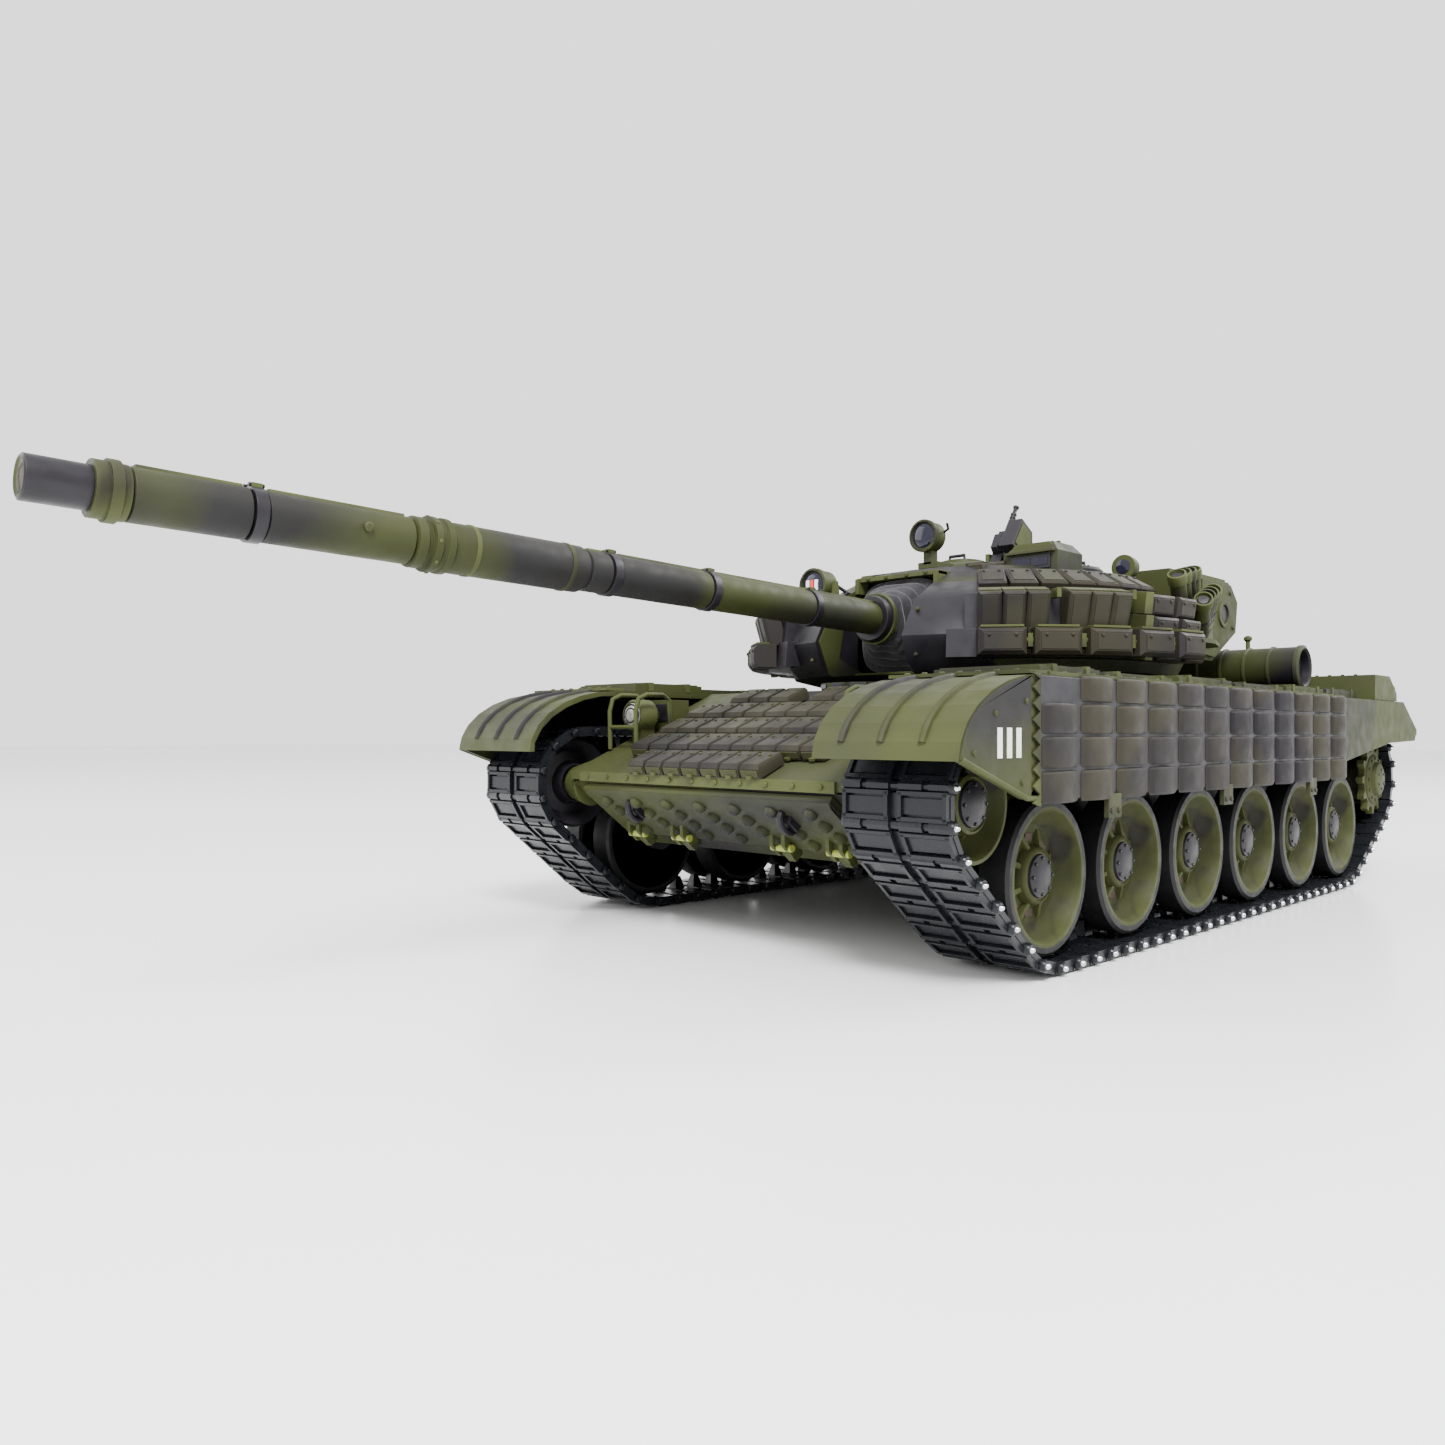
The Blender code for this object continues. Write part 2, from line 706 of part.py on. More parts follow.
def turret_armour(side):
    """Brick rows on one cheek: a proud lower row and a sloping upper row."""
    away = 0.4
    section = [
        (shell_radius(97.0) + away, 97.0), (100.5, 97.0), (100.5, 107.5), (98.0, 108.5),
        (94.0, 121.0), (shell_radius(121.0) + away, 121.0),
        (shell_radius(120.0) + away, 120.0), (shell_radius(106.0) + away, 106.0),
    ]
    rings = []
    for k in range(15):
        angle = math.radians(24 + 5.2 * k)
        across, ahead = math.sin(angle), math.cos(angle)
        rings.append(
            [(side * r * across, TURRET[1] - r * ahead, z) for r, z in section]
        )
    armour = loft("turret_armour", rings)
    armour.name = "left_turret_armour" if side > 0 else "right_turret_armour"
    return settle(armour, "armour", (*TURRET, 0.0))


def searchlight(name, x, y, z, radius, depth, foot_z):
    """A drum lamp facing forward on a short foot."""
    lamp = turned(
        name,
        [
            (-depth / 2, 0), (-depth / 2, radius - 1.2), (-depth / 2 - 0.8, radius - 0.8),
            (-depth / 2, radius), (depth / 2 - 2, radius), (depth / 2, radius - 2.5),
            (depth / 2, 0),
        ],
        (x, y, z),
        "Y",
        ROUND,
    )
    foot = box("foot", (x - 2, y - 2, foot_z), (x + 2, y + 3, z - radius + 2))
    return fuse(lamp, foot)


def gun_searchlight():
    lamp = searchlight("gun_searchlight", -27.0, -86.0, 129.5, 7.0, 10.0, 121.0)
    arm = box("arm", (-29.0, -85.0, 121.0), (-25.0, -69.0, 123.5))
    return settle(clear_of_shell(fuse(lamp, arm)), "olive", (*TURRET, 0.0))


def turret_bins():
    """Stowage boxes round the turret's back."""
    outline = [
        (50.0, 104.0), (90.0, 104.0), (116.0, 118.0), (119.0, 134.0), (110.0, 142.0),
        (44.0, 142.0),
    ]
    boxes = prism_x("turret_bins", outline, -60.0, 60.0)
    return settle(clear_of_shell(boxes), "olive", (*TURRET, 0.0))


def snorkel_tube():
    """The deep-wading tube carried across the back of the turret."""
    centre = (0.0, 129.0, 101.5)
    radius = 10.0
    ends = (-48.0, 88.0)
    profile = [(ends[0], 0), (ends[0], radius + 0.6), (ends[0] + 2.5, radius + 0.6)]
    profile.append((ends[0] + 2.5, radius))
    profile += [(ends[1] - 2.5, radius), (ends[1] - 2.5, radius + 0.6), (ends[1], radius + 0.6)]
    profile.append((ends[1], 0))
    tube = turned("snorkel_tube", profile, centre, "X", ROUND)
    straps = [
        prism_x(
            "strap",
            [(114.0, 106.0), (122.0, 106.0), (122.0, 112.0), (117.5, 117.2), (114.0, 115.3)],
            x - 2,
            x + 2,
        )
        for x in (-30.0, 30.0)
    ]
    return settle(fuse(tube, *straps), "olive", (*TURRET, 0.0))


def smoke_launchers():
    """Eight discharger tubes fanned out on a stepped bracket on the left rear cheek."""
    bracket = prism_z(
        "smoke_launchers",
        [(66.0, 6.0), (86.5, 3.6), (86.5, 26.0), (80.5, 46.0), (66.0, 52.0)],
        107.0,
        115.6,
    )
    tubes = []
    for row in range(2):
        for k in range(4):
            base = Vector(
                (80.0 - 2.6 * k + 2.0 * row, 10.0 + 10.0 * k + row * (12.0 - 2.4 * k), 112.0 + 1.4 * k - 3.0 * row)
            )
            aim = Vector((0.16 + 0.12 * row, -0.60 + 0.05 * k, 0.76 - 0.36 * row)).normalized()
            tubes.append(rod("tube", base - aim, base + aim * 26.0, 3.4, 8))
    launchers = clear_of_shell(fuse(bracket, *tubes))
    return settle(launchers, "olive", (*TURRET, 0.0))


def gunner_hatch():
    cover = turned(
        "gunner_hatch",
        [(137.9, 0), (137.9, 14.0), (140.0, 14.0), (142.0, 11.0), (142.0, 0)],
        (28, 16, 0),
        "Z",
        ROUND,
    )
    hinge = rod("hinge", (22, 1.2, 140.2), (34, 1.2, 140.2), 1.6, 8)
    lug = box("lug", (24, 1.2, 138.6), (32, 6.0, 140.6))
    return settle(fuse(cover, lug, hinge), "olive", (28.0, 1.2, 140.2))


def gun_barrel():
    """The tube from breech block to muzzle, with its thermal sleeves and fume extractor."""
    y0 = TRUNNION[0]
    bore_r, mouth = 4.0, 30.0

    def ring(y, radius, half, rise):
        return [(y + half, radius), (y + half, radius + rise), (y - half, radius + rise),
                (y - half, radius)]

    profile = [(y0 + 14.0, 0), (y0 + 14.0, 6.4), (-84.0, 6.4)]
    profile += ring(-177.0, 6.3, 1.2, 0.7)
    profile += [(-229.0, 6.3), (-229.0, 6.9), (-272.0, 6.9), (-272.0, 7.6), (-279.5, 7.6)]
    profile += [(-279.5, 6.3)]
    profile += ring(-326.0, 6.3, 1.2, 0.7)
    profile += [(-353.7, 6.3), (-353.7, 7.0), (-359.5, 7.0), (-359.5, 5.0)]
    profile += [(MUZZLE_Y, 5.0), (MUZZLE_Y, bore_r)]
    profile += [(MUZZLE_Y + mouth, bore_r), (MUZZLE_Y + mouth, 0)]
    barrel = turned("gun_barrel", profile, (0, 0, TRUNNION[1]), "Y", ROUND)
    rotor = rod("rotor", (-15, *TRUNNION), (15, *TRUNNION), 9.5, ROUND)
    pins = rod("pins", (-18.5, *TRUNNION), (18.5, *TRUNNION), 4.0, 12)
    breech = box("breech", (-6, y0 + 4, 107.5), (6, y0 + 34, 119.5))
    barrel = fuse(barrel, rotor, pins, breech)
    tilted(barrel, -GUN_TILT, TRUNNION)
    return settle(barrel, "dark", (0.0, *TRUNNION))


def mantlet_cover():
    """The canvas boot round the gun's root, a bell centred on the trunnion."""
    inner = 6.4 + GAP + 0.2
    y0 = TRUNNION[0]
    profile = [
        (y0 - 24.0, inner), (y0 - 24.0, 9.6), (y0 - 19.0, 10.4), (y0 - 14.0, 13.6),
        (y0 - 10.5, 16.5), (y0 - 10.5, inner),
    ]
    cover = turned("mantlet_cover", profile, (0, 0, TRUNNION[1]), "Y", ROUND)
    tilted(cover, -GUN_TILT, TRUNNION)
    return settle(cover, "canvas", (0.0, *TRUNNION))


def commander_cupola():
    z0, z1 = CUPOLA_Z
    profile = [
        (z0 + GAP, 0), (z0 + GAP, CUPOLA_R), (z0 + 5, CUPOLA_R), (z0 + 6, CUPOLA_R - 2.5),
        (z1 - 3, CUPOLA_R - 3.5), (z1, CUPOLA_R - 8.0), (z1, 0),
    ]
    cupola = turned("commander_cupola", profile, (*CUPOLA, 0), "Z", ROUND)
    lamp = searchlight("lamp", CUPOLA[0], -14.0, 158.4, 7.3, 10.0, 146.0)
    shelf = box("shelf", (CUPOLA[0] - 5, -16.0, 144.5), (CUPOLA[0] + 5, 0.0, 147.0))
    cheeks = [
        box("cheek", (x - 1.0, MG_PIVOT[1] - 3.5, 147.0), (x + 1.0, MG_PIVOT[1] + 3.5, 157.0))
        for x in (MG_PIVOT[0] - 5.0, MG_PIVOT[0] + 5.0)
    ]
    rear = box("rear", (MG_PIVOT[0] - 6, 26.0, 143.0), (MG_PIVOT[0] + 6, MG_PIVOT[1] + 3.5, 147.5))
    cupola = fuse(cupola, lamp, shelf, rear, *cheeks)
    return settle(cupola, "olive", (*CUPOLA, 0.0))


def machine_gun():
    """The roof gun in its cradle, with the belt box on its left, raised to the rear."""
    x, y, z = MG_PIVOT
    body = box("machine_gun", (x - 3.0, y - 5.0, z - 3.0), (x + 3.0, y + 15.0, z + 4.0))
    cover = box("cover", (x - 2.5, y + 1.0, z + 3.0), (x + 2.5, y + 11.0, z + 8.5))
    barrel = rod("barrel", (x, y + 13.0, z + 1.0), (x, y + 32.0, z + 1.0), 1.3, 10)
    pins = rod("pins", (x - 3.7, y, z), (x + 3.7, y, z), 2.2, 10)
    neck = box("neck", (x + 1.5, y + 3.0, z + 5.0), (x + 8.0, y + 8.0, z + 8.0))
    belt = prism_x(
        "belt",
        [(y - 2, z + 1), (y + 9, z - 2), (y + 14, z + 1), (y + 14, z + 12), (y - 2, z + 13)],
        x + 6.6,
        x + 14.5,
    )
    gun = fuse(body, cover, barrel, pins, neck, belt)
    tilted(gun, MG_TILT, (y, z))
    return settle(gun, "dark", MG_PIVOT)


def build():
    clear_scene()
    tank = bpy.data.objects.new("tank", None)
    bpy.context.scene.collection.objects.link(tank)
    tank.location = (0.0, FOOTPRINT_SHIFT * MM, 0.0)
    for make in (lower_hull, upper_hull, engine_deck, glacis_armour, dozer_blade,
                 exhaust_outlet, battery_pack, control_board, turret_shell, gun_searchlight,
                 turret_bins, snorkel_tube, smoke_launchers, gunner_hatch, gun_barrel,
                 mantlet_cover, commander_cupola, machine_gun):
        make()
    for side in (1, -1):
        for make in (fender, skirt, headlight, fuel_drum, drive_gearbox, track, idler_wheel,
                     drive_sprocket, turret_armour):
            make(side)
        for number in range(1, WHEEL_COUNT + 1):
            swing_arm(side, number)
            road_wheel(side, number)


build()
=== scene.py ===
"""The radio-controlled tank as it is dressed for its picture: detailed pieces on the fixed frame."""

import math

import bmesh
import bpy
from mathutils import Matrix, Vector


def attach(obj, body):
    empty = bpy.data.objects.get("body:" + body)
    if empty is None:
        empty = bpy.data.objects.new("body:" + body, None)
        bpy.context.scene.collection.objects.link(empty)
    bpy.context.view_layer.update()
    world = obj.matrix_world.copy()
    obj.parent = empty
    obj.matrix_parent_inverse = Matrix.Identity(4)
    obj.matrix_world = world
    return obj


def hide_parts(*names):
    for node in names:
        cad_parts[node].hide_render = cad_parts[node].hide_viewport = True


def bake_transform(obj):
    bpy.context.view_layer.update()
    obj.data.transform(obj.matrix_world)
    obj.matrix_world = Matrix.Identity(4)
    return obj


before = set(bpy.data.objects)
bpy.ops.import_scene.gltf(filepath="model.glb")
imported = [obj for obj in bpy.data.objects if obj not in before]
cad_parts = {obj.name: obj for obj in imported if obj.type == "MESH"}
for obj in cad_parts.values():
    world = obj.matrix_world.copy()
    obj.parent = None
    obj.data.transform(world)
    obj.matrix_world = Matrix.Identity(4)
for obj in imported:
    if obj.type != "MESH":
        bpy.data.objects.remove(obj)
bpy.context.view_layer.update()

# Everything below is measured in millimetres from the middle of the wheelbase on the ground,
# with the gun towards -Y and the left side at +X. The frame's own origin lies further forward.
SHIFT_Y = 70.5
MM = 0.001

DECK_Z = 86.0
WHEEL_Y = [-135.4 + 53.66 * k for k in range(6)]
WHEEL_Z = 28.1
BAND_R = 25.9
IDLER = (-172.5, 50.8)
IDLER_BAND_R = 19.5
SPROCKET = (184.0, 48.0)
SPROCKET_BAND_R = 20.2
LINK_PITCH = 10.45
TURRET = Vector((0.0, -12.0, 0.0))
TRUNNION = Vector((0.0, -58.0, 113.6))
GUN_TILT = math.radians(1.595)
CUPOLA = Vector((-24.0, 14.0, 0.0))
MG_PIVOT = Vector((-22.0, 42.0, 154.0))
MG_TILT = math.radians(60.0)
NOSE = (-182.3, 55.5)
GLACIS_TOP_Y = -110.0

# The camera stands close to the left front corner: metres, degrees and millimetres of lens.
CAMERA_SPOT = (0.263894, -0.360510, 0.069751)
CAMERA_TURN = (90.563, -0.154, 45.221)
CAMERA_LENS = 27.58

# ---------------------------------------------------------------- materials

OLIVE = (0.0265, 0.0310, 0.0088)
# Paler olive, used only as the painted highlight on proud edges.
HIGHLIGHT_OLIVE = (0.058, 0.067, 0.023)
VIOLET = (0.0095, 0.0080, 0.0125)
BROWN = (0.0200, 0.0168, 0.0106)
DARK_BROWN = (0.0100, 0.0082, 0.0105)


class Paint:
    """A node material whose colour, roughness and grain vary over the surface."""

    def __init__(self, name, roughness=0.6, metallic=0.0, specular=0.16):
        self.material = bpy.data.materials.new(name)
        self.material.use_nodes = True
        self.tree = self.material.node_tree
        self.shader = self.tree.nodes["Principled BSDF"]
        self.shader.inputs["Roughness"].default_value = roughness
        self.shader.inputs["Metallic"].default_value = metallic
        self.shader.inputs["Specular IOR Level"].default_value = specular
        coordinates = self.tree.nodes.new("ShaderNodeTexCoord")
        self.position = coordinates.outputs["Object"]

    def link(self, source, target):
        self.tree.links.new(source, target)

    def noise(self, scale, detail=3.0, distortion=0.0, stretch=(1, 1, 1), offset=(0, 0, 0)):
        mapping = self.tree.nodes.new("ShaderNodeMapping")
        mapping.inputs["Scale"].default_value = stretch
        mapping.inputs["Location"].default_value = offset
        self.link(self.position, mapping.inputs["Vector"])
        texture = self.tree.nodes.new("ShaderNodeTexNoise")
        texture.inputs["Scale"].default_value = scale
        texture.inputs["Detail"].default_value = detail
        texture.inputs["Distortion"].default_value = distortion
        self.link(mapping.outputs["Vector"], texture.inputs["Vector"])
        return texture.outputs["Fac"]

    def ramp(self, factor, *stops):
        node = self.tree.nodes.new("ShaderNodeValToRGB")
        elements = node.color_ramp.elements
        while len(elements) < len(stops):
            elements.new(0.5)
        for element, (place, colour) in zip(elements, stops):
            element.position = place
            element.color = (*colour, 1.0) if len(colour) == 3 else colour
        self.link(factor, node.inputs["Fac"])
        return node.outputs["Color"]

    def mix(self, factor, low, high, mode="MIX"):
        node = self.tree.nodes.new("ShaderNodeMix")
        node.data_type = "RGBA"
        node.blend_type = mode
        for socket, value in ((node.inputs[0], factor), (node.inputs[6], low), (node.inputs[7], high)):
            if isinstance(value, bpy.types.NodeSocket):
                self.link(value, socket)
            elif isinstance(value, tuple):
                socket.default_value = (*value, 1.0)
            else:
                socket.default_value = value
        return node.outputs[2]

    def edges(self):
        """The surface's pointiness: high where an edge stands proud and low in a crease; it masks the
        painted edge highlights and the painted crease shade.
        """
        geometry = self.tree.nodes.new("ShaderNodeNewGeometry")
        return geometry.outputs["Pointiness"]

    def upward(self):
        geometry = self.tree.nodes.new("ShaderNodeNewGeometry")
        split = self.tree.nodes.new("ShaderNodeSeparateXYZ")
        self.link(geometry.outputs["Normal"], split.inputs["Vector"])
        return split.outputs["Z"]

    def colour(self, value):
        if isinstance(value, tuple):
            self.shader.inputs["Base Color"].default_value = (*value, 1.0)
        else:
            self.link(value, self.shader.inputs["Base Color"])

    def roughness(self, factor, low, high):
        self.link(self.ramp(factor, (0.3, (low,) * 3), (0.7, (high,) * 3)), self.shader.inputs["Roughness"])

    def bump(self, height, strength, distance=0.0004):
        node = self.tree.nodes.new("ShaderNodeBump")
        node.inputs["Strength"].default_value = strength
        node.inputs["Distance"].default_value = distance
        self.link(height, node.inputs["Height"])
        self.link(node.outputs["Normal"], self.shader.inputs["Normal"])


def sprayed(name, base, second, scale, amount, edge_highlight, offset=(0, 0, 0), stretch=(1, 1, 1)):
    """Matt model paint: one colour with soft clouds of a second, paler on its edges as a painted highlight
    and darker in its creases as painted shade.
    """
    paint = Paint(name)
    clouds = paint.noise(scale, 1.5, 0.6, stretch, offset)
    body = paint.ramp(clouds, (amount - 0.055, base), (amount + 0.055, second))
    tone = paint.noise(scale * 2.3, 2.0, 0.0, (1, 1, 1), (3, 5, 7))
    body = paint.mix(0.35, body, paint.ramp(tone, (0.35, (0.62, 0.62, 0.62)), (0.65, (1.3, 1.3, 1.25))),
                     "MULTIPLY")
    dust = paint.ramp(paint.upward(), (0.2, (0, 0, 0)), (1.0, (0.09, 0.09, 0.09)))
    body = paint.mix(dust, body, (0.070, 0.068, 0.040))
    # Painted highlight: proud edges are mixed towards a paler copy of the paint.
    edge_highlight_mask = paint.ramp(paint.edges(), (0.52, (0, 0, 0)), (0.62, (0.55, 0.55, 0.55)))
    body = paint.mix(edge_highlight_mask, body, edge_highlight)
    # Painted shade: creases are darkened by multiplying the colour.
    crease_shade = paint.ramp(paint.edges(), (0.40, (0.35, 0.33, 0.33)), (0.495, (1, 1, 1)))
    paint.colour(paint.mix(0.8, body, crease_shade, "MULTIPLY"))
    grain = paint.noise(2600.0, 2.0)
    paint.roughness(paint.noise(160.0), 0.46, 0.68)
    paint.bump(grain, 0.25, 0.00012)
    return paint.material


def plain(name, colour, roughness, metallic=0.0, grain=1800.0, strength=0.2, shade=0.6):
    """One colour with a fine grain, slightly darker patches and a painted highlight on its edges."""
    paint = Paint(name, roughness, metallic, 0.3)
    patches = paint.noise(grain * 0.08, 3.0)
    dark = tuple(c * shade for c in colour)
    body = paint.ramp(patches, (0.35, dark), (0.65, colour))
    # Painted highlight: proud edges take a paler copy of the colour.
    edge_highlight_mask = paint.ramp(paint.edges(), (0.51, (0, 0, 0)), (0.60, (0.5, 0.5, 0.5)))
    lit = tuple(min(1.0, c * 2.2 + 0.004) for c in colour)
    paint.colour(paint.mix(edge_highlight_mask, body, lit))
    paint.roughness(paint.noise(grain * 0.1), max(0.05, roughness - 0.1), min(1.0, roughness + 0.1))
    paint.bump(paint.noise(grain, 2.0), strength, 0.00015)
    return paint.material


def canvas(name):
    """Rubberised cloth: a fine cross weave over broad crumples, with painted shade in the crumples'
    hollows.
    """
    paint = Paint(name, 0.85)
    weave = paint.noise(5200.0, 1.0, 0.0, (1, 0.25, 1))
    crumple = paint.noise(120.0, 4.0, 0.8)
    # Painted shade and light: the colour follows the crumple that drives the bump, darker in its hollows
    # and paler on its crests.
    paint.colour(paint.ramp(crumple, (0.3, (0.008, 0.008, 0.010)), (0.7, (0.026, 0.024, 0.029))))
    paint.roughness(paint.noise(300.0), 0.72, 0.92)
    paint.bump(paint.mix(0.5, weave, crumple), 0.5, 0.0006)
    paint.shader.inputs["Sheen Weight"].default_value = 0.3
    return paint.material


def lens(name, colour):
    paint = Paint(name, 0.08)
    rings = paint.noise(420.0, 1.0, 0.0, (1, 0.2, 1))
    paint.colour(paint.ramp(rings, (0.35, tuple(c * 0.6 for c in colour)), (0.65, colour)))
    paint.shader.inputs["Coat Weight"].default_value = 0.3
    return paint.material


CAMO = sprayed("camouflage_paint", OLIVE, VIOLET, 15.0, 0.52, HIGHLIGHT_OLIVE, (1.7, 0.3, 2.1))
GUN_PAINT = sprayed("gun_paint", OLIVE, VIOLET, 13.0, 0.52, HIGHLIGHT_OLIVE, (0.4, 0.9, 0.1))
BRICK = sprayed("armour_brick", BROWN, DARK_BROWN, 20.0, 0.52, (0.040, 0.038, 0.024), (5, 1, 2))
BRICK_FACE = sprayed("armour_brick_face", (0.0240, 0.0250, 0.0092), (0.0105, 0.0088, 0.0102), 24.0, 0.54,
                     HIGHLIGHT_OLIVE, (2, 8, 1))
TRIM = sprayed("pale_trim", (0.041, 0.048, 0.0140), (0.0150, 0.0150, 0.0080), 30.0, 0.57,
               (0.075, 0.088, 0.030))
WHEEL_PAINT = sprayed("wheel_paint", (0.038, 0.043, 0.0125), (0.0140, 0.0135, 0.0070), 60.0, 0.58,
                      HIGHLIGHT_OLIVE)
DARK = plain("dark_gun", (0.0080, 0.0068, 0.0095), 0.42, 0.1)
ARM = plain("arm_steel", (0.012, 0.012, 0.013), 0.5, 0.1)
TRACK = plain("track_metal", (0.0042, 0.0048, 0.0064), 0.30, 0.2)
PIN = plain("pin_steel", (0.42, 0.43, 0.45), 0.25, 1.0, shade=0.8)
RUBBER = plain("tyre_rubber", (0.0035, 0.0035, 0.004), 0.55, 0.0, strength=0.4)
CANVAS = canvas("canvas")
LENS = lens("lamp_lens", (0.012, 0.012, 0.026))
GLASS = lens("headlamp_glass", (0.25, 0.25, 0.23))
WHITE = plain("white_mark", (0.60, 0.60, 0.58), 0.6, shade=0.8)
RED = plain("red_mark", (0.42, 0.03, 0.025), 0.5, shade=0.8)
# Painted shade colour for the muzzle's bore and the wheels' holes.
RECESS_SHADE = plain("bore_shade", (0.035, 0.022, 0.016), 0.7)
BRIGHT_PIN = plain("pin_paint", (0.20, 0.23, 0.04), 0.45, shade=0.8)
STEEL = plain("gearbox_steel", (0.35, 0.35, 0.37), 0.35, 1.0)
BATTERY = plain("battery_wrap", (0.05, 0.1, 0.35), 0.3)
BOARD = plain("circuit_board", (0.02, 0.16, 0.06), 0.5)
PAINTS = [CAMO, BRICK, BRICK_FACE, TRIM, DARK, PIN, RUBBER, LENS, RECESS_SHADE, WHITE, RED, GLASS, TRACK,
          WHEEL_PAINT, GUN_PAINT, BRIGHT_PIN]
(I_CAMO, I_BRICK, I_FACE, I_TRIM, I_DARK, I_PIN, I_RUBBER, I_LENS, I_RECESS_SHADE, I_WHITE, I_RED, I_GLASS, I_TRACK,
 I_WHEEL, I_GUN, I_YELLOW) = range(len(PAINTS))

# ---------------------------------------------------------------- shapes


def spread(count, start=0.0):
    """Angles evenly spaced round a circle, the first a part of a step along."""
    return [2 * math.pi * (k + start) / count for k in range(count)]


class Shape:
    """Points and faces of one piece, gathered from simple forms in millimetres."""

    def __init__(self, paint=I_CAMO):
        self.points = []
        self.faces = []
        self.paints = []
        self.paint = paint
        self.place = Matrix.Identity(4)

    def add(self, points, faces, paint=None):
        base = len(self.points)
        self.points += [self.place @ Vector(p) for p in points]
        self.faces += [tuple(base + i for i in face) for face in faces]
        self.paints += [self.paint if paint is None else paint] * len(faces)

    def loft(self, rings, paint=None, closed=False):
        """Skins rings of equal length; the first and last are capped, or joined if closed."""
        count = len(rings[0])
        points = [p for ring in rings for p in ring]
        faces = []
        for k in range(len(rings) if closed else len(rings) - 1):
            one, two = k * count, (k + 1) % len(rings) * count
            for i in range(count):
                j = (i + 1) % count
                faces.append((one + i, one + j, two + j, two + i))
        if not closed:
            faces.append(tuple(reversed(range(count))))
            faces.append(tuple(range((len(rings) - 1) * count, len(rings) * count)))
        self.add(points, faces, paint)

    def box(self, low, high, paint=None):
        (x0, y0, z0), (x1, y1, z1) = low, high
        self.loft([[(x0, y0, z), (x1, y0, z), (x1, y1, z), (x0, y1, z)] for z in (z0, z1)], paint)

    def prism(self, axis, outline, a, b, paint=None):
        """Extrudes a flat outline along an axis from a to b."""
        put = {"X": lambda u, v, w: (w, u, v),
               "Y": lambda u, v, w: (u, w, v),
               "Z": lambda u, v, w: (u, v, w)}[axis]
        self.loft([[put(u, v, w) for u, v in outline] for w in (a, b)], paint)

    def turned(self, centre, axis, profile, steps=24, paint=None):
        """Turns (along, radius) points round an axis through the centre."""
        turn = Vector((0, 0, 1)).rotation_difference(Vector(axis).normalized())
        rings = []
        for along, radius in profile:
            ring = []
            for angle in spread(steps, 0.5):
                local = Vector((radius * math.cos(angle), radius * math.sin(angle), along))
                ring.append(Vector(centre) + turn @ local)
            rings.append(ring)
        self.loft(rings, paint)

    def rod(self, start, end, radius, steps=16, paint=None, end_radius=None):
        start, end = Vector(start), Vector(end)
        length = (end - start).length
        self.turned(start, end - start, [(0, radius), (length, end_radius or radius)], steps, paint)

    def tube(self, path, radius, steps=8, paint=None):
        path = [Vector(p) for p in path]
        rings = []
        for k, p in enumerate(path):
            along = (path[min(k + 1, len(path) - 1)] - path[max(k - 1, 0)]).normalized()
            turn = Vector((0, 0, 1)).rotation_difference(along)
            circle = [Vector((radius * math.cos(a), radius * math.sin(a), 0)) for a in spread(steps)]
            rings.append([p + turn @ spot for spot in circle])
        self.loft(rings, paint)

    def grip(self, centre, reach, height, radius, paint):
        """A bent grab handle along X, standing on its centre."""
        x, y, z = centre
        bent = ((-reach, 0), (-reach, height), (reach, height), (reach, 0))
        self.tube([(x + dx, y, z + dz) for dx, dz in bent], radius, 8, paint)

    def hoop(self, centre, axis, reach, radius, steps, thickness_steps, paint=None):
        """A wire ring round a centre, in the plane square to the X or Y axis."""
        x, y, z = centre
        path = []
        for a in spread(steps) + [2 * math.pi]:
            u, v = reach[0] * math.cos(a), reach[1] * math.sin(a)
            path.append((x, y + u, z + v) if axis == "X" else (x + u, y, z + v))
        self.tube(path, radius, thickness_steps, paint)

    def stud(self, at, out, radius, height, steps=6, paint=None):
        """A bolt head or rivet standing on a face."""
        self.turned(at, out, [(-0.3, radius), (height * 0.7, radius), (height, radius * 0.7)], steps, paint)

    def brick(self, width, height, depth, chamfer=0.9, paint=I_BRICK, face=I_FACE, bolts=True):
        """An armour brick: its back lies on the local XZ plane and its face looks along -Y."""
        w, h, c = width / 2, height / 2, chamfer

        def rect(inset, y):
            a, b = w - inset, h - inset
            return [(-a, y, -b), (a, y, -b), (a, y, b), (-a, y, b)]

        self.loft([rect(0, 0), rect(0, -depth + c), rect(c, -depth)], paint)
        self.loft([rect(c + 0.5, -depth + 0.2), rect(c + 0.5, -depth - 0.25)], face)
        if bolts:
            for x in (-w * 0.55, w * 0.55):
                self.stud((x, -depth - 0.2, h * 0.45), (0, -1, 0), 0.65, 0.6, 6, paint)

    def make(self, name, body, slot, replaces=(), bevel=0.3, origin=None):
        """Turns the gathered faces into an object that rides on a body of the frame."""
        used = sorted(set(self.paints))
        mesh = bpy.data.meshes.new(name)
        offset = Vector((0, SHIFT_Y, 0)) if origin is None else -Vector(origin)
        mesh.from_pydata([(p + offset) * MM for p in self.points], [], self.faces)
        for index in used:
            mesh.materials.append(PAINTS[index])
        mesh.polygons.foreach_set("material_index", [used.index(i) for i in self.paints])
        mesh.polygons.foreach_set("use_smooth", [True] * len(self.faces))
        mesh.update()
        tidy_normals(mesh)
        return place_mesh(name, mesh, body, replaces, bevel, origin)


def tidy_normals(mesh):
    """Faces each separate shell of the mesh outwards."""
    work = bmesh.new()
    work.from_mesh(mesh)
    bmesh.ops.recalc_face_normals(work, faces=work.faces)
    work.to_mesh(mesh)
    work.free()


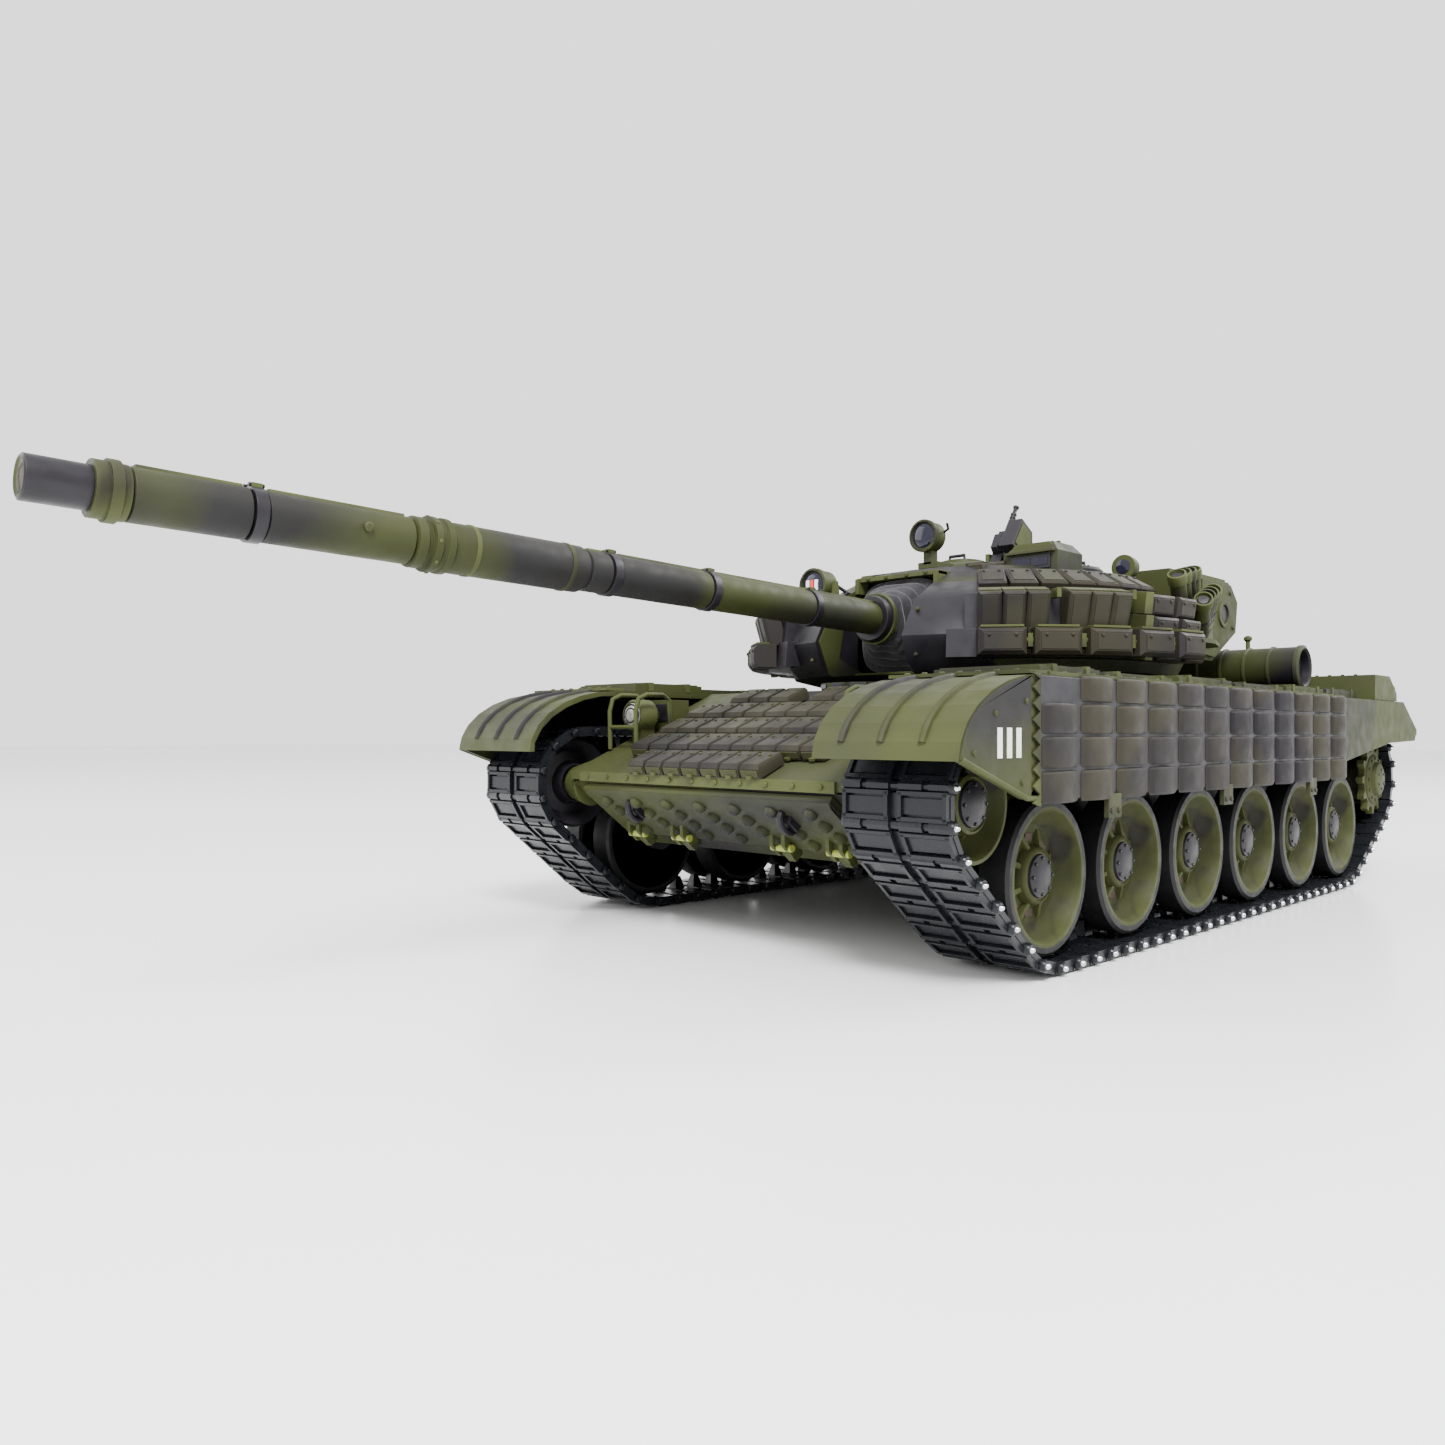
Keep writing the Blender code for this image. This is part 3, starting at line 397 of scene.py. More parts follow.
def place_mesh(name, mesh, body, replaces=(), bevel=0.3, origin=None, turn=0.0):
    piece = bpy.data.objects.new(name, mesh)
    bpy.context.scene.collection.objects.link(piece)
    if origin is not None:
        piece.location = framed(*origin)
        piece.rotation_euler.z = turn
    if bevel:
        modifier = piece.modifiers.new("edges", "BEVEL")
        modifier.width = bevel * MM
        modifier.segments = 2
        modifier.limit_method = "ANGLE"
        modifier.angle_limit = math.radians(34)
        modifier.harden_normals = True
    else:
        mesh.set_sharp_from_angle(angle=math.radians(35))
    bpy.context.view_layer.update()
    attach(piece, body)
    if replaces:
        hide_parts(*replaces)
    return piece


def sides():
    return (("left", 1), ("right", -1))


def tilted(pivot, angle):
    """Turns about the cross axis through a pivot."""
    return Matrix.Translation(pivot) @ Matrix.Rotation(angle, 4, "X") @ Matrix.Translation(-pivot)


def framed(x, y, z):
    """A point in the frame's own metres."""
    return (Vector((x, y + SHIFT_Y, z))) * MM


def paint_nodes():
    """Gives each CAD node that stays in view its finish."""
    finishes = {
        "lower_hull": CAMO, "upper_hull": CAMO, "engine_deck": CAMO, "dozer_blade": CAMO,
        "turret_shell": CAMO, "turret_bins": CAMO, "snorkel_tube": CAMO, "smoke_launchers": CAMO,
        "gunner_hatch": CAMO, "commander_cupola": CAMO, "gun_searchlight": TRIM, "machine_gun": DARK,
        "exhaust_outlet": CAMO, "battery_pack": BATTERY, "control_board": BOARD, "glacis_armour": BRICK,
        "gun_barrel": DARK, "mantlet_cover": CANVAS,
    }
    for word, _ in sides():
        finishes[f"{word}_fender"] = CAMO
        finishes[f"{word}_skirt_armour"] = BRICK
        finishes[f"{word}_turret_armour"] = BRICK
        finishes[f"{word}_headlight"] = CAMO
        finishes[f"{word}_fuel_drum"] = CAMO
        finishes[f"{word}_drive_gearbox"] = STEEL
        finishes[f"{word}_track"] = TRACK
        finishes[f"{word}_drive_sprocket"] = WHEEL_PAINT
        finishes[f"{word}_idler_wheel"] = WHEEL_PAINT
        for k in range(1, 7):
            finishes[f"{word}_swing_arm_{k}"] = ARM
            finishes[f"{word}_road_wheel_{k}"] = WHEEL_PAINT
    for node, material in finishes.items():
        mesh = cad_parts[node].data
        mesh.materials.clear()
        mesh.materials.append(material)


# ---------------------------------------------------------------- running gear


def pin_line():
    """Evenly spaced pins round the track, as (y, z), with the ground run first."""
    circles = [(WHEEL_Y[0], WHEEL_Z, BAND_R), (WHEEL_Y[-1], WHEEL_Z, BAND_R)]
    circles += [(*SPROCKET, SPROCKET_BAND_R), (*IDLER, IDLER_BAND_R)]
    points = []
    for y, z, radius in circles:
        for degrees in range(0, 360, 5):
            angle = math.radians(degrees)
            points.append((round(y + radius * math.cos(angle), 6), round(z + radius * math.sin(angle), 6)))
    ordered = sorted(set(points))

    def half(run):
        kept = []
        for p in run:
            while len(kept) > 1:
                (ay, az), (by, bz) = kept[-2:]
                if (by - ay) * (p[1] - az) - (bz - az) * (p[0] - ay) > 1e-9:
                    break
                kept.pop()
            kept.append(p)
        return kept[:-1]

    loop = half(ordered) + half(ordered[::-1])
    start = min(range(len(loop)), key=lambda i: (round(loop[i][1], 3), loop[i][0]))
    loop = loop[start:] + loop[:start] + [loop[start]]
    lengths = [math.dist(a, b) for a, b in zip(loop, loop[1:])]
    count = round(sum(lengths) / LINK_PITCH)
    step = sum(lengths) / count
    pins, reach, leg = [], 0.0, 0
    for k in range(count):
        while reach + lengths[leg] < k * step:
            reach += lengths[leg]
            leg += 1
        part = (k * step - reach) / lengths[leg]
        a, b = Vector(loop[leg]), Vector(loop[leg + 1])
        pins.append(a.lerp(b, part))
    return pins


def track_link(shape, side, half):
    """One cast link in its own frame: X across the track, Y along it and Z out of the loop."""

    def slab(x0, x1, end, z0, z1):
        shape.box((side * x0, -end, z0), (side * x1, end, z1))

    for x0, x1 in ((71.0, 86.6), (89.4, 105.0)):
        slab(x0, x1, half - 1.7, -1.5, 0.3)
        for y in (-half + 1.2, half - 2.3):
            shape.box((side * x0, y, 0.0), (side * x1, y + 1.1, 2.1))
        slab(x0 + 1.2, x1 - 1.2, half - 3.0, 0.0, 1.3)
        for x in (x0 + 0.2, x1 - 1.4):
            slab(x, x + 1.2, half - 1.5, 0.0, 2.1)
    slab(86.4, 89.6, half - 1.8, -1.4, 0.6)
    shape.loft([
        [(side * (88.0 + a * w), b * d, z) for a, b in ((-1, -1), (1, -1), (1, 1), (-1, 1))]
        for w, d, z in ((2.2, 2.6, -1.2), (1.0, 1.3, -6.2))
    ])


def track_pin(shape, side):
    """The pin between two links, with its knuckles, end collars and bright ends."""
    for x0, x1, radius in ((71.0, 77.0, 1.9), (79.0, 86.4, 1.9), (89.6, 97.0, 1.9), (99.0, 105.0, 1.9)):
        shape.rod((side * x0, 0, 0), (side * x1, 0, 0), radius, 8)
    shape.rod((side * 70.4, 0, 0), (side * 105.8, 0, 0), 1.3, 8)
    shape.turned((side * 106.0, 0, 0), (side, 0, 0), [(0, 0.95), (0.9, 0.9), (1.4, 0.5)], 10, I_PIN)
    shape.turned((side * 104.6, 0, 0), (side, 0, 0), [(0, 1.95), (1.2, 1.95), (1.9, 1.5), (1.9, 0.3)], 10)
    shape.turned((side * 70.8, 0, 0), (-side, 0, 0), [(0, 1.5), (0.7, 1.4), (1.0, 0.8)], 8)


def tracks():
    pins = pin_line()
    for word, side in sides():
        shape = Shape(I_TRACK)
        for k, pin in enumerate(pins):
            after = pins[(k + 1) % len(pins)]
            run = after - pin
            angle = math.atan2(run.y, run.x)
            centre = (pin + after) / 2
            # The loop runs with its inside on the left, so that out of the loop is to the right.
            shape.place = Matrix.Translation((0, centre.x, centre.y)) @ Matrix.Rotation(angle, 4, "X")
            shape.place = shape.place @ Matrix.Diagonal((1, 1, -1, 1))
            track_link(shape, side, run.length / 2)
            shape.place = Matrix.Translation((0, pin.x, pin.y)) @ Matrix.Rotation(angle, 4, "X")
            track_pin(shape, side)
        shape.make(f"{word}_track_links", "hull", "track_metal", [f"{word}_track"], 0.0)


def wheel_shape(x0, x1, rim, tyre, bore, groove, hub_x, blind):
    """A pair of dished discs on one hub, drawn about its own centre with the outside at +X."""
    shape = Shape(I_WHEEL)
    inner, outer, groove_r = groove
    mid = (x0 + x1) / 2
    steps = 40

    def lathe(profile, paint=None):
        shape.turned((-mid, 0, 0), (1, 0, 0), profile + [profile[0]], steps, paint)

    lathe([(x0 + 3.0, bore), (x0, bore + 2.4), (x0, 7.0), (x0 + 4.0, 8.4), (x0 + 5.0, rim - 5.0),
           (x0 + 1.0, rim - 2.4), (x0, rim - 1), (x0 + 0.8, rim - 0.1), (inner, rim - 0.1),
           (inner, groove_r),
           (inner + 1.5, groove_r - 0.1), (inner + 1.5, bore)], I_DARK)
    lathe([(inner + 1.5, bore), (inner + 1.5, groove_r), (outer, groove_r), (outer, rim - 0.2),
           (x1 - 0.9, rim - 0.2), (x1, rim - 0.6), (x1, rim - 1.6), (x1 - 0.8, rim - 2.0),
           (x1 - 3.0, rim - 2.6), (x1 - 6.6, rim - 6.0), (x1 - 7.2, rim * 0.52), (x1 - 6.4, 9.2),
           (x1 - 4.2, 8.6), (hub_x - 1.4, 8.2), (hub_x - 0.9, 7.4), (hub_x - 1.4, 7.2), (hub_x - 1.4, 0.01),
           (blind, 0.01), (blind, bore)])
    cap = [(-1.6, 6.6), (-0.6, 6.3), (0.0, 4.8), (0.35, 2.6), (0.4, 0.3)]
    shape.turned((hub_x - mid, 0, 0), (1, 0, 0), cap, 20, I_DARK)
    if tyre:
        for a, b in ((x0, inner), (outer, x1)):
            lathe([(a, rim - 0.6), (a, tyre - 1.0), (a + 0.9, tyre), (b - 0.9, tyre), (b, tyre - 1.0),
                   (b, rim - 0.6)],
                  I_RUBBER)
    # Eight ribs on the disc, with a thin dark plate between each two as the painted shade of a hole, and a
    # bolt on the hub cap.
    face = x1 - mid - 7.6
    r0, r1 = 8.0, rim * 0.66
    hole_r = (r0 + r1) / 2 + 0.2
    for a in spread(8):
        shape.place = Matrix.Rotation(a + math.pi / 8, 4, "X")
        shape.loft([[(face, -w, r), (face, w, r), (face + proud, w - 0.3 - dw, r),
                     (face + proud, -w + 0.3 + dw, r)]
                    for r, w, dw, proud in ((r0, 1.0, 0.0, 3.2), (r1, 1.3, 0.1, 1.0))])
        shape.place = Matrix.Rotation(a, 4, "X")
        # Painted shade: a thin dark plate on the disc stands in for a hole.
        shape.box((face, -1.9, hole_r - 1.1), (face + 0.85, 1.9, hole_r + 1.1), I_RECESS_SHADE)
        shape.stud((hub_x - mid - 0.5, 0, 5.3), (1, 0, 0), 0.6, 0.75, 6, I_DARK)
    shape.place = Matrix.Identity(4)
    return shape, mid


def wheels():
    road, road_mid = wheel_shape(74.4, 101.6, 21.2, 23.2, 3.0, (84.0, 91.6, 15.0), 99.6, 97.0)
    front, front_mid = wheel_shape(76.0, 100.0, 17.0, 0.0, 4.3, (84.0, 92.0, 12.0), 100.4, 98.0)
    for kind, shape, mid in (("road", road, road_mid), ("idler", front, front_mid)):
        mesh = None
        for word, side in sides():
            if kind == "road":
                spots = [(f"{word}_wheel_{k}", f"{word}_road_wheel_{k}", (side * mid, y, WHEEL_Z))
                         for k, y in enumerate(WHEEL_Y, 1)]
            else:
                spots = [(f"{word}_idler", f"{word}_idler_wheel", (side * mid, *IDLER))]
            for body, node, centre in spots:
                name = node + "_rim"
                turn = 0.0 if side > 0 else math.pi
                if mesh is None:
                    first = shape.make(name, body, "wheel_paint", [node], 0.0, origin=(0, 0, 0))
                    mesh = first.data
                    bpy.data.objects.remove(first)
                place_mesh(name, mesh, body, [node], 0.0, centre, turn)


# ---------------------------------------------------------------- hull


def glacis(y, above=0.0):
    """Height of the sloping front plate at a station, plus a distance above it."""
    slope = (DECK_Z - NOSE[1]) / (GLACIS_TOP_Y - NOSE[0])
    return NOSE[1] + slope * (y - NOSE[0]) + above


def skirts():
    """Twelve columns of convex bricks on each side, four rows deep."""
    first, last, count = -163.0, 98.0, 12
    pitch = (last - first) / count
    rows = [(79.0, 86.2), (69.9, 78.2), (60.5, 69.1), (51.0, 59.7)]
    section = [(0.05, 0.0), (0.07, 0.5), (0.14, 1.1), (0.25, 1.7), (0.38, 2.15), (0.5, 2.3),
               (0.62, 2.15), (0.75, 1.7), (0.86, 1.1), (0.93, 0.5), (0.95, 0.0)]
    for word, side in sides():
        shape = Shape(I_BRICK)
        shape.box((side * 113.5, first + 0.5, 52.0), (side * 113.9, last, 85.5), I_DARK)
        for k in range(count):
            y0 = first + k * pitch
            for row, (z0, z1) in enumerate(rows):
                if k == 0 and row == 0:
                    continue
                middle = y0 + pitch / 2
                outline = [(side * (113.9 + bulge), y0 + part * pitch) for part, bulge in section]
                inset = [(x - side * 0.5 * (abs(x) > 114), middle + (y - middle) * 0.97)
                         for x, y in outline]
                ends = ((z0, inset), (z0 + 0.8, outline), (z1 - 0.8, outline), (z1, inset))
                shape.loft([[(x, y, z) for x, y in ring] for z, ring in ends])
        for y in (-122.0, -36.7, 51.2):
            shape.box((side * 113.7, y - 4, 45.6), (side * 115.3, y + 4, 52.5), I_FACE)
            for dy in (-2.2, 2.2):
                shape.stud((side * 115.2, y + dy, 47.6), (side, 0, 0), 0.9, 0.7)
        teeth = [(-166.8, 86.0)]
        for k in range(8):
            z = 84.5 - k * 4.4
            teeth += [(-163.4, z), (-166.8, z - 2.2)]
        teeth += [(-163.4, 50.5), (-162.9, 50.5), (-162.9, 86.0)]
        shape.prism("X", teeth, side * 113.6, side * 114.4, I_TRIM)
        shape.make(f"{word}_skirt_bricks", "hull", "armour_brick", [f"{word}_skirt_armour"], 0.35)


def guards():
    """Pressed ribs, strips, bolts, box lids and the plain marks on the track guards."""
    lids = ((-148.0, -112.0, 70.0, 3.2), (-108.0, -60.0, 88.0, 2.6), (-54.0, -8.0, 88.0, 3.6),
            (-4.0, 46.0, 88.0, 3.0), (50.0, 96.0, 88.0, 3.8), (100.0, 143.0, 70.0, 4.0))
    for word, side in sides():
        shape = Shape(I_CAMO)
        for x in (76.0, 89.0, 102.0):
            angles = [math.radians(7.0 * k + 2) for k in range(12)]
            shape.tube([(side * x, -160.0 - 40.4 * math.sin(a), 63.0 + 22.8 * math.cos(a)) for a in angles],
                       1.3)
        shape.box((side * 66.4, -166.0, 86.0), (side * 112.8, -157.0, 87.0), I_TRIM)
        for x in range(70, 112, 6):
            shape.stud((side * x, -161.5, 87.0), (0, 0, 1), 0.9, 0.7, 6, I_TRIM)
        shape.box((side * 107.5, -156.0, 86.0), (side * 113.2, 98.0, 86.9), I_TRIM)
        for k in range(30):
            shape.stud((side * 110.5, -152.0 + 8.6 * k, 86.9), (0, 0, 1), 0.8, 0.6, 6, I_TRIM)
        for y0, y1, inner, height in lids:
            a, b = sorted((side * inner, side * 105.5))
            top = DECK_Z + height
            shape.box((a, y0, DECK_Z + 0.2), (b, y1, top))
            shape.box((a + 1.2, y0 + 1.2, top), (b - 1.2, y1 - 1.2, top + 0.5))
            for y in (y0 + 8, y1 - 8):
                shape.box((a - 0.4, y - 1.2, DECK_Z + 0.4), (b + 0.4, y + 1.2, top + 0.8), I_TRIM)
        plate = [(-200.4, 63.3), (-169.0, 52.4), (-167.3, 52.4), (-167.3, 85.2)]
        for k in range(1, 12):
            angle = math.radians(7.3 * k + 3)
            plate.append((-160.0 - 40.3 * math.sin(angle), 63.0 + 22.4 * math.cos(angle)))
        shape.prism("X", plate, side * 113.2, side * 113.9, I_GUN)
        lower_edge = [(-200.0, 63.6), (-169.0, 52.9), (-164.0, 52.6)]
        shape.tube([(side * 113.5, y, z) for y, z in lower_edge], 0.8, 8, I_TRIM)
        for y in (-183.0, -178.4, -173.8):
            shape.box((side * 113.8, y - 1.1, 63.6), (side * 114.1, y + 1.1, 71.4), I_WHITE)
        for y, z in ((-195.0, 65.0), (-172.0, 57.0), (-170.0, 78.5), (-185.0, 75.0)):
            shape.stud((side * 113.8, y, z), (side, 0, 0), 0.8, 0.6)
        shape.make(f"{word}_guard_fittings", "hull", "camouflage_paint", (), 0.25)


def glacis_bricks():
    """Rows of reactive bricks bolted up the sloping front plate."""
    shape = Shape(I_BRICK)
    slope = math.atan2(DECK_Z - NOSE[1], GLACIS_TOP_Y - NOSE[0])
    pitch = 13.6
    for row in range(5):
        y = -183.4 + row * pitch
        count = 7 if row == 0 else (9 if row < 4 else 7)
        width = 9.0 if row == 0 else 10.2
        for k in range(count):
            x = (k - (count - 1) / 2) * width
            if row and abs(x) < 7.0 and row == 4:
                continue
            shape.place = Matrix.Translation((x, y, glacis(y, 0.6))) @ Matrix.Rotation(slope, 4, "X")
            w = width / 2 - 0.45
            depth = pitch - 1.6
            shape.loft([
                [(-w, 0.0, 0.0), (w, 0.0, 0.0), (w, depth, 0.0), (-w, depth, 0.0)],
                [(-w, 0.0, 3.2), (w, 0.0, 3.2), (w, depth, 3.2), (-w, depth, 3.2)],
                [(-w + 0.6, 1.2, 4.6), (w - 0.6, 1.2, 4.6), (w - 0.6, depth - 0.5, 4.2),
                 (-w + 0.6, depth - 0.5, 4.2)],
            ], I_BRICK)
            shape.box((-w + 0.5, -0.5, 0.7), (w - 0.5, 0.1, 2.9), I_FACE)
            for dx in (-w * 0.55, w * 0.55):
                shape.stud((dx, depth * 0.72, 4.2), (0, 0, 1), 0.65, 0.6, 6, I_FACE)
            shape.box((-1.0, -1.2, 0.2), (1.0, 0.0, 1.2), I_TRIM)
    shape.place = Matrix.Identity(4)
    shape.make("glacis_bricks", "hull", "armour_brick", ["glacis_armour"], 0.35)


def nose_fittings():
    """Studs, tow hooks and lifting brackets on the folded blade, and the nose edge."""
    shape = Shape(I_CAMO)
    top = Vector((NOSE[0] + 0.6, NOSE[1] - 3.4))
    along = (Vector((-150.0, 28.0)) - top).normalized()
    out = Vector((along.y, -along.x))

    def on(distance, proud, x):
        p = top + along * distance + out * proud
        return (x, p.x, p.y)

    normal = (0, out.x, out.y)
    shape.loft([[on(0.5, 2.8, x), on(2.6, 3.6, x), on(27.0, 3.6, x),
                 on(29.0, 2.8, x)] for x in (-57.6, 57.6)])
    for column in range(7):
        for row in range(4):
            x = -48.0 + column * 16.0 + row * 1.8
            shape.turned(on(5.5 + row * 6.0, 3.5, x), normal,
                         [(0, 2.3), (1.1, 2.2), (2.2, 1.4), (2.5, 0.3)], 12)
    ear = ((19.0, 3.0), (22.0, 6.5), (27.5, 6.9), (29.5, 3.2))
    for x in (-47.4, -23.9, 23.9, 47.4):
        for dx in (-2.6, 2.6):
            shape.loft([[on(distance, proud, x + dx + e) for distance, proud in ear] for e in (-0.8, 0.8)],
                       I_TRIM)
        shape.rod(on(24.5, 5.4, x - 4.4), on(24.5, 5.4, x + 4.4), 1.3, 12, I_YELLOW)
    hook_angles = [math.radians(20 * k) for k in range(1, 12)]
    hook_foot = ((7.5, 3.2), (8.5, 5.8), (13.0, 5.8), (14.0, 3.2))
    for x in (-36.0, 36.0):
        shape.tube([on(10.0 + 4.2 * math.cos(a), 4.0 + 3.4 * math.sin(a), x) for a in hook_angles], 1.2, 8,
                   I_DARK)
        shape.loft([[on(distance, proud, x + e) for distance, proud in hook_foot] for e in (-2.4, 2.4)],
                   I_DARK)
    shape.box((-60.0, NOSE[0] - 0.9, NOSE[1] - 3.2), (60.0, NOSE[0] + 1.2, NOSE[1] + 0.3), I_TRIM)
    for k in range(-5, 6):
        shape.stud((k * 11.0, NOSE[0] - 0.8, NOSE[1] - 1.4), (0, -1, 0), 0.9, 0.8, 6, I_TRIM)
    shape.make("nose_fittings", "hull", "camouflage_paint", (), 0.3)


def headlights():
    """Lamp drums with their glass, foot, bent wire guard and the box behind."""
    for word, side in sides():
        shape = Shape(I_CAMO)
        x, z = side * 57.0, 76.5
        front = -160.5
        drum = [(0.0, 4.6), (-0.4, 5.3), (0.5, 5.9), (7.5, 5.9), (10.5, 3.4), (11.0, 0.2)]
        glass = [(-0.1, 4.7), (-0.9, 3.4), (-1.2, 1.6), (-1.2, 0.1)]
        shape.turned((x, front, z), (0, 1, 0), drum, 28, I_TRIM)
        shape.turned((x, front, z), (0, 1, 0), glass, 28, I_GLASS)
        for radius in (4.1, 2.7):
            shape.hoop((x, front - 1.25 + 0.12 * radius, z), "Y", (radius, radius), 0.32, 24, 6, I_DARK)
        foot = glacis(-155.0, 0.3)
        shape.box((x - 3, -158.0, foot - 1), (x + 3, -152.0, z - 3))
        bent = [(-165.0, glacis(-165.0, 0.8)), (-165.4, 78.0), (-164.0, 82.6), (-160.0, 84.2),
                (-152.0, 84.2),
                (-149.0, 82.5), (-148.0, glacis(-148.0, 0.6))]
        for dx in (-7.6, 7.6):
            shape.tube([(x + dx, y, height) for y, height in bent], 0.9, 8, I_TRIM)
        shape.tube([(x - 7.6, -165.2, 72.0), (x + 7.6, -165.2, 72.0)], 0.8, 8, I_TRIM)
        shape.box((x - 6.0, -147.0, glacis(-147.0, 0.4) - 2), (x + 6.0, -137.0, 82.5))
        shape.box((x - 5.0, -147.6, 74.5), (x + 5.0, -146.9, 81.0), I_DARK)
        shape.make(f"{word}_headlight_unit", "hull", "camouflage_paint", [f"{word}_headlight"], 0.3)


def deck_fittings():
    """Driver's hatch and sights, engine grilles, latches, exhaust lip and drum straps."""
    shape = Shape(I_CAMO)
    shape.turned((0, -91, 0), (0, 0, 1), [(87.0, 12.6), (88.4, 12.2), (89.4, 9.5), (89.6, 0.2)], 32)
    for angle in (-28, 0, 28):
        a = math.radians(angle)
        shape.place = Matrix.Translation((0, -91, 0)) @ Matrix.Rotation(-a, 4, "Z")
        shape.box((-3.0, -17.5, 86.0), (3.0, -14.0, 89.0))
        shape.box((-2.4, -17.9, 86.8), (2.4, -17.4, 88.5), I_LENS)
    shape.place = Matrix.Identity(4)
    for y0, y1 in ((103.0, 139.0), (145.0, 181.0)):
        shape.box((-56.0, y0 - 2.0, 87.0), (56.0, y0, 90.3), I_TRIM)
        shape.box((-56.0, y1, 87.0), (56.0, y1 + 2.0, 90.3), I_TRIM)
        for side in (-1, 1):
            shape.box((side * 55.0 - 1, y0, 87.0), (side * 55.0 + 1, y1, 90.3), I_TRIM)
        for k in range(27):
            x = -52.0 + 4.0 * k
            slat = ((x - 0.4, 87.2), (x + 0.9, 89.6), (x + 0.4, 89.9), (x - 0.9, 87.6))
            shape.prism("Y", slat, y0, y1)
    for x in (-60.0, -20.0, 20.0, 60.0):
        for y in (80.0, 96.0, 188.0):
            shape.stud((x, y, 87.0), (0, 0, 1), 1.2, 0.9)
    for x in (-34.0, 0.0, 34.0):
        shape.grip((x, 92.0, 87.2), 5.0, 2.8, 0.8, I_DARK)
    shape.make("deck_fittings", "hull", "camouflage_paint", (), 0.3)
    outlet = Shape(I_TRIM)
    outlet.hoop((98.0, 184.6, 92.0), "Y", (12.5, 4.6), 0.9, 28, 8)
    for x in (90.0, 95.3, 100.6, 106.0):
        outlet.box((x - 0.5, 178.0, 88.4), (x + 0.5, 183.6, 95.6), I_DARK)
    for k in range(5):
        outlet.stud((86.5 + 5.6 * k, 150.0, 98.0 - 2.6 * max(0, k - 3)), (0, 0, 1), 0.8, 0.6)
    outlet.make("exhaust_fittings", "hull", "camouflage_paint", (), 0.2)
    for word, side in sides():
        drum = Shape(I_CAMO)
        centre, radius = (0, 216.4, 84.0), 16.0
        profile = [(5.0, 0.2), (5.0, 12.0), (6.4, 12.6), (6.4, 14.4), (5.0, 15.2), (5.4, radius)]
        for x in (14.0, 24.0, 33.5, 43.0, 53.0):
            profile += [(x - 1.0, radius - 0.1), (x, radius + 0.5), (x + 1.0, radius - 0.1)]
        profile += [(61.6, radius), (62.0, 15.2), (60.6, 14.4), (60.6, 12.6), (62.0, 12.0), (62.0, 0.2)]
        drum.turned(centre, (1, 0, 0), [(side * x, r) for x, r in profile], 40)
        for x in (19.0, 48.0):
            strap = [(-1.5, 0.05), (-1.5, 0.45), (1.5, 0.45), (1.5, 0.05)]
            drum.turned(centre, (1, 0, 0), [(side * (x + dx), radius + dr) for dx, dr in strap], 40, I_DARK)
        drum.turned((side * 52.0, 216.4, 99.4), (0, 0, 1), [(0, 3.0), (1.0, 3.0), (1.3, 2.4), (1.3, 0.2)],
                    16, I_TRIM)
        drum.make(f"{word}_drum_shell", "hull", "camouflage_paint", [f"{word}_fuel_drum"], 0.0)


def running_fittings():
    """Return rollers, idler bosses and the bolted caps of the sprockets."""
    for word, side in sides():
        shape = Shape(I_WHEEL)
        for y in (-100.0, 0.0, 100.0):
            shape.rod((side * 66.1, y, 56.5), (side * 70.0, y, 56.5), 2.4, 14)
        shape.rod((side * 66.1, *IDLER), (side * 74.6, *IDLER), 8.4, 20, I_TRIM, 6.4)
        shape.make(f"{word}_axle_bosses", "hull", "wheel_paint", (), 0.3)
        cap = Shape(I_WHEEL)
        centre = (0, *SPROCKET)
        profile = [(101.6, 12.2), (102.2, 11.6), (102.8, 8.6), (104.6, 7.6), (105.2, 6.0), (105.4, 0.2)]
        cap.turned(centre, (side, 0, 0), profile, 28)
        for x, reach, angles, size, paint in ((102.2, 10.2, spread(12), 0.9, I_WHEEL),
                                              (105.0, 4.6, spread(6, 0.5), 0.7, I_DARK)):
            for a in angles:
                spot = (side * x, SPROCKET[0] + reach * math.cos(a), SPROCKET[1] + reach * math.sin(a))
                cap.stud(spot, (side, 0, 0), size, size, 6, paint)
        cap.make(f"{word}_sprocket_cap", f"{word}_sprocket", "wheel_paint", (), 0.25)


# ---------------------------------------------------------------- turret


def around(angle, radius, z, side=1):
    """A frame at an angle from straight ahead round the turret, looking outward along -Y."""
    a = math.radians(angle) * side
    spot = Vector((radius * math.sin(a), TURRET.y - radius * math.cos(a), z))
    return Matrix.Translation(spot) @ Matrix.Rotation(a, 4, "Z")


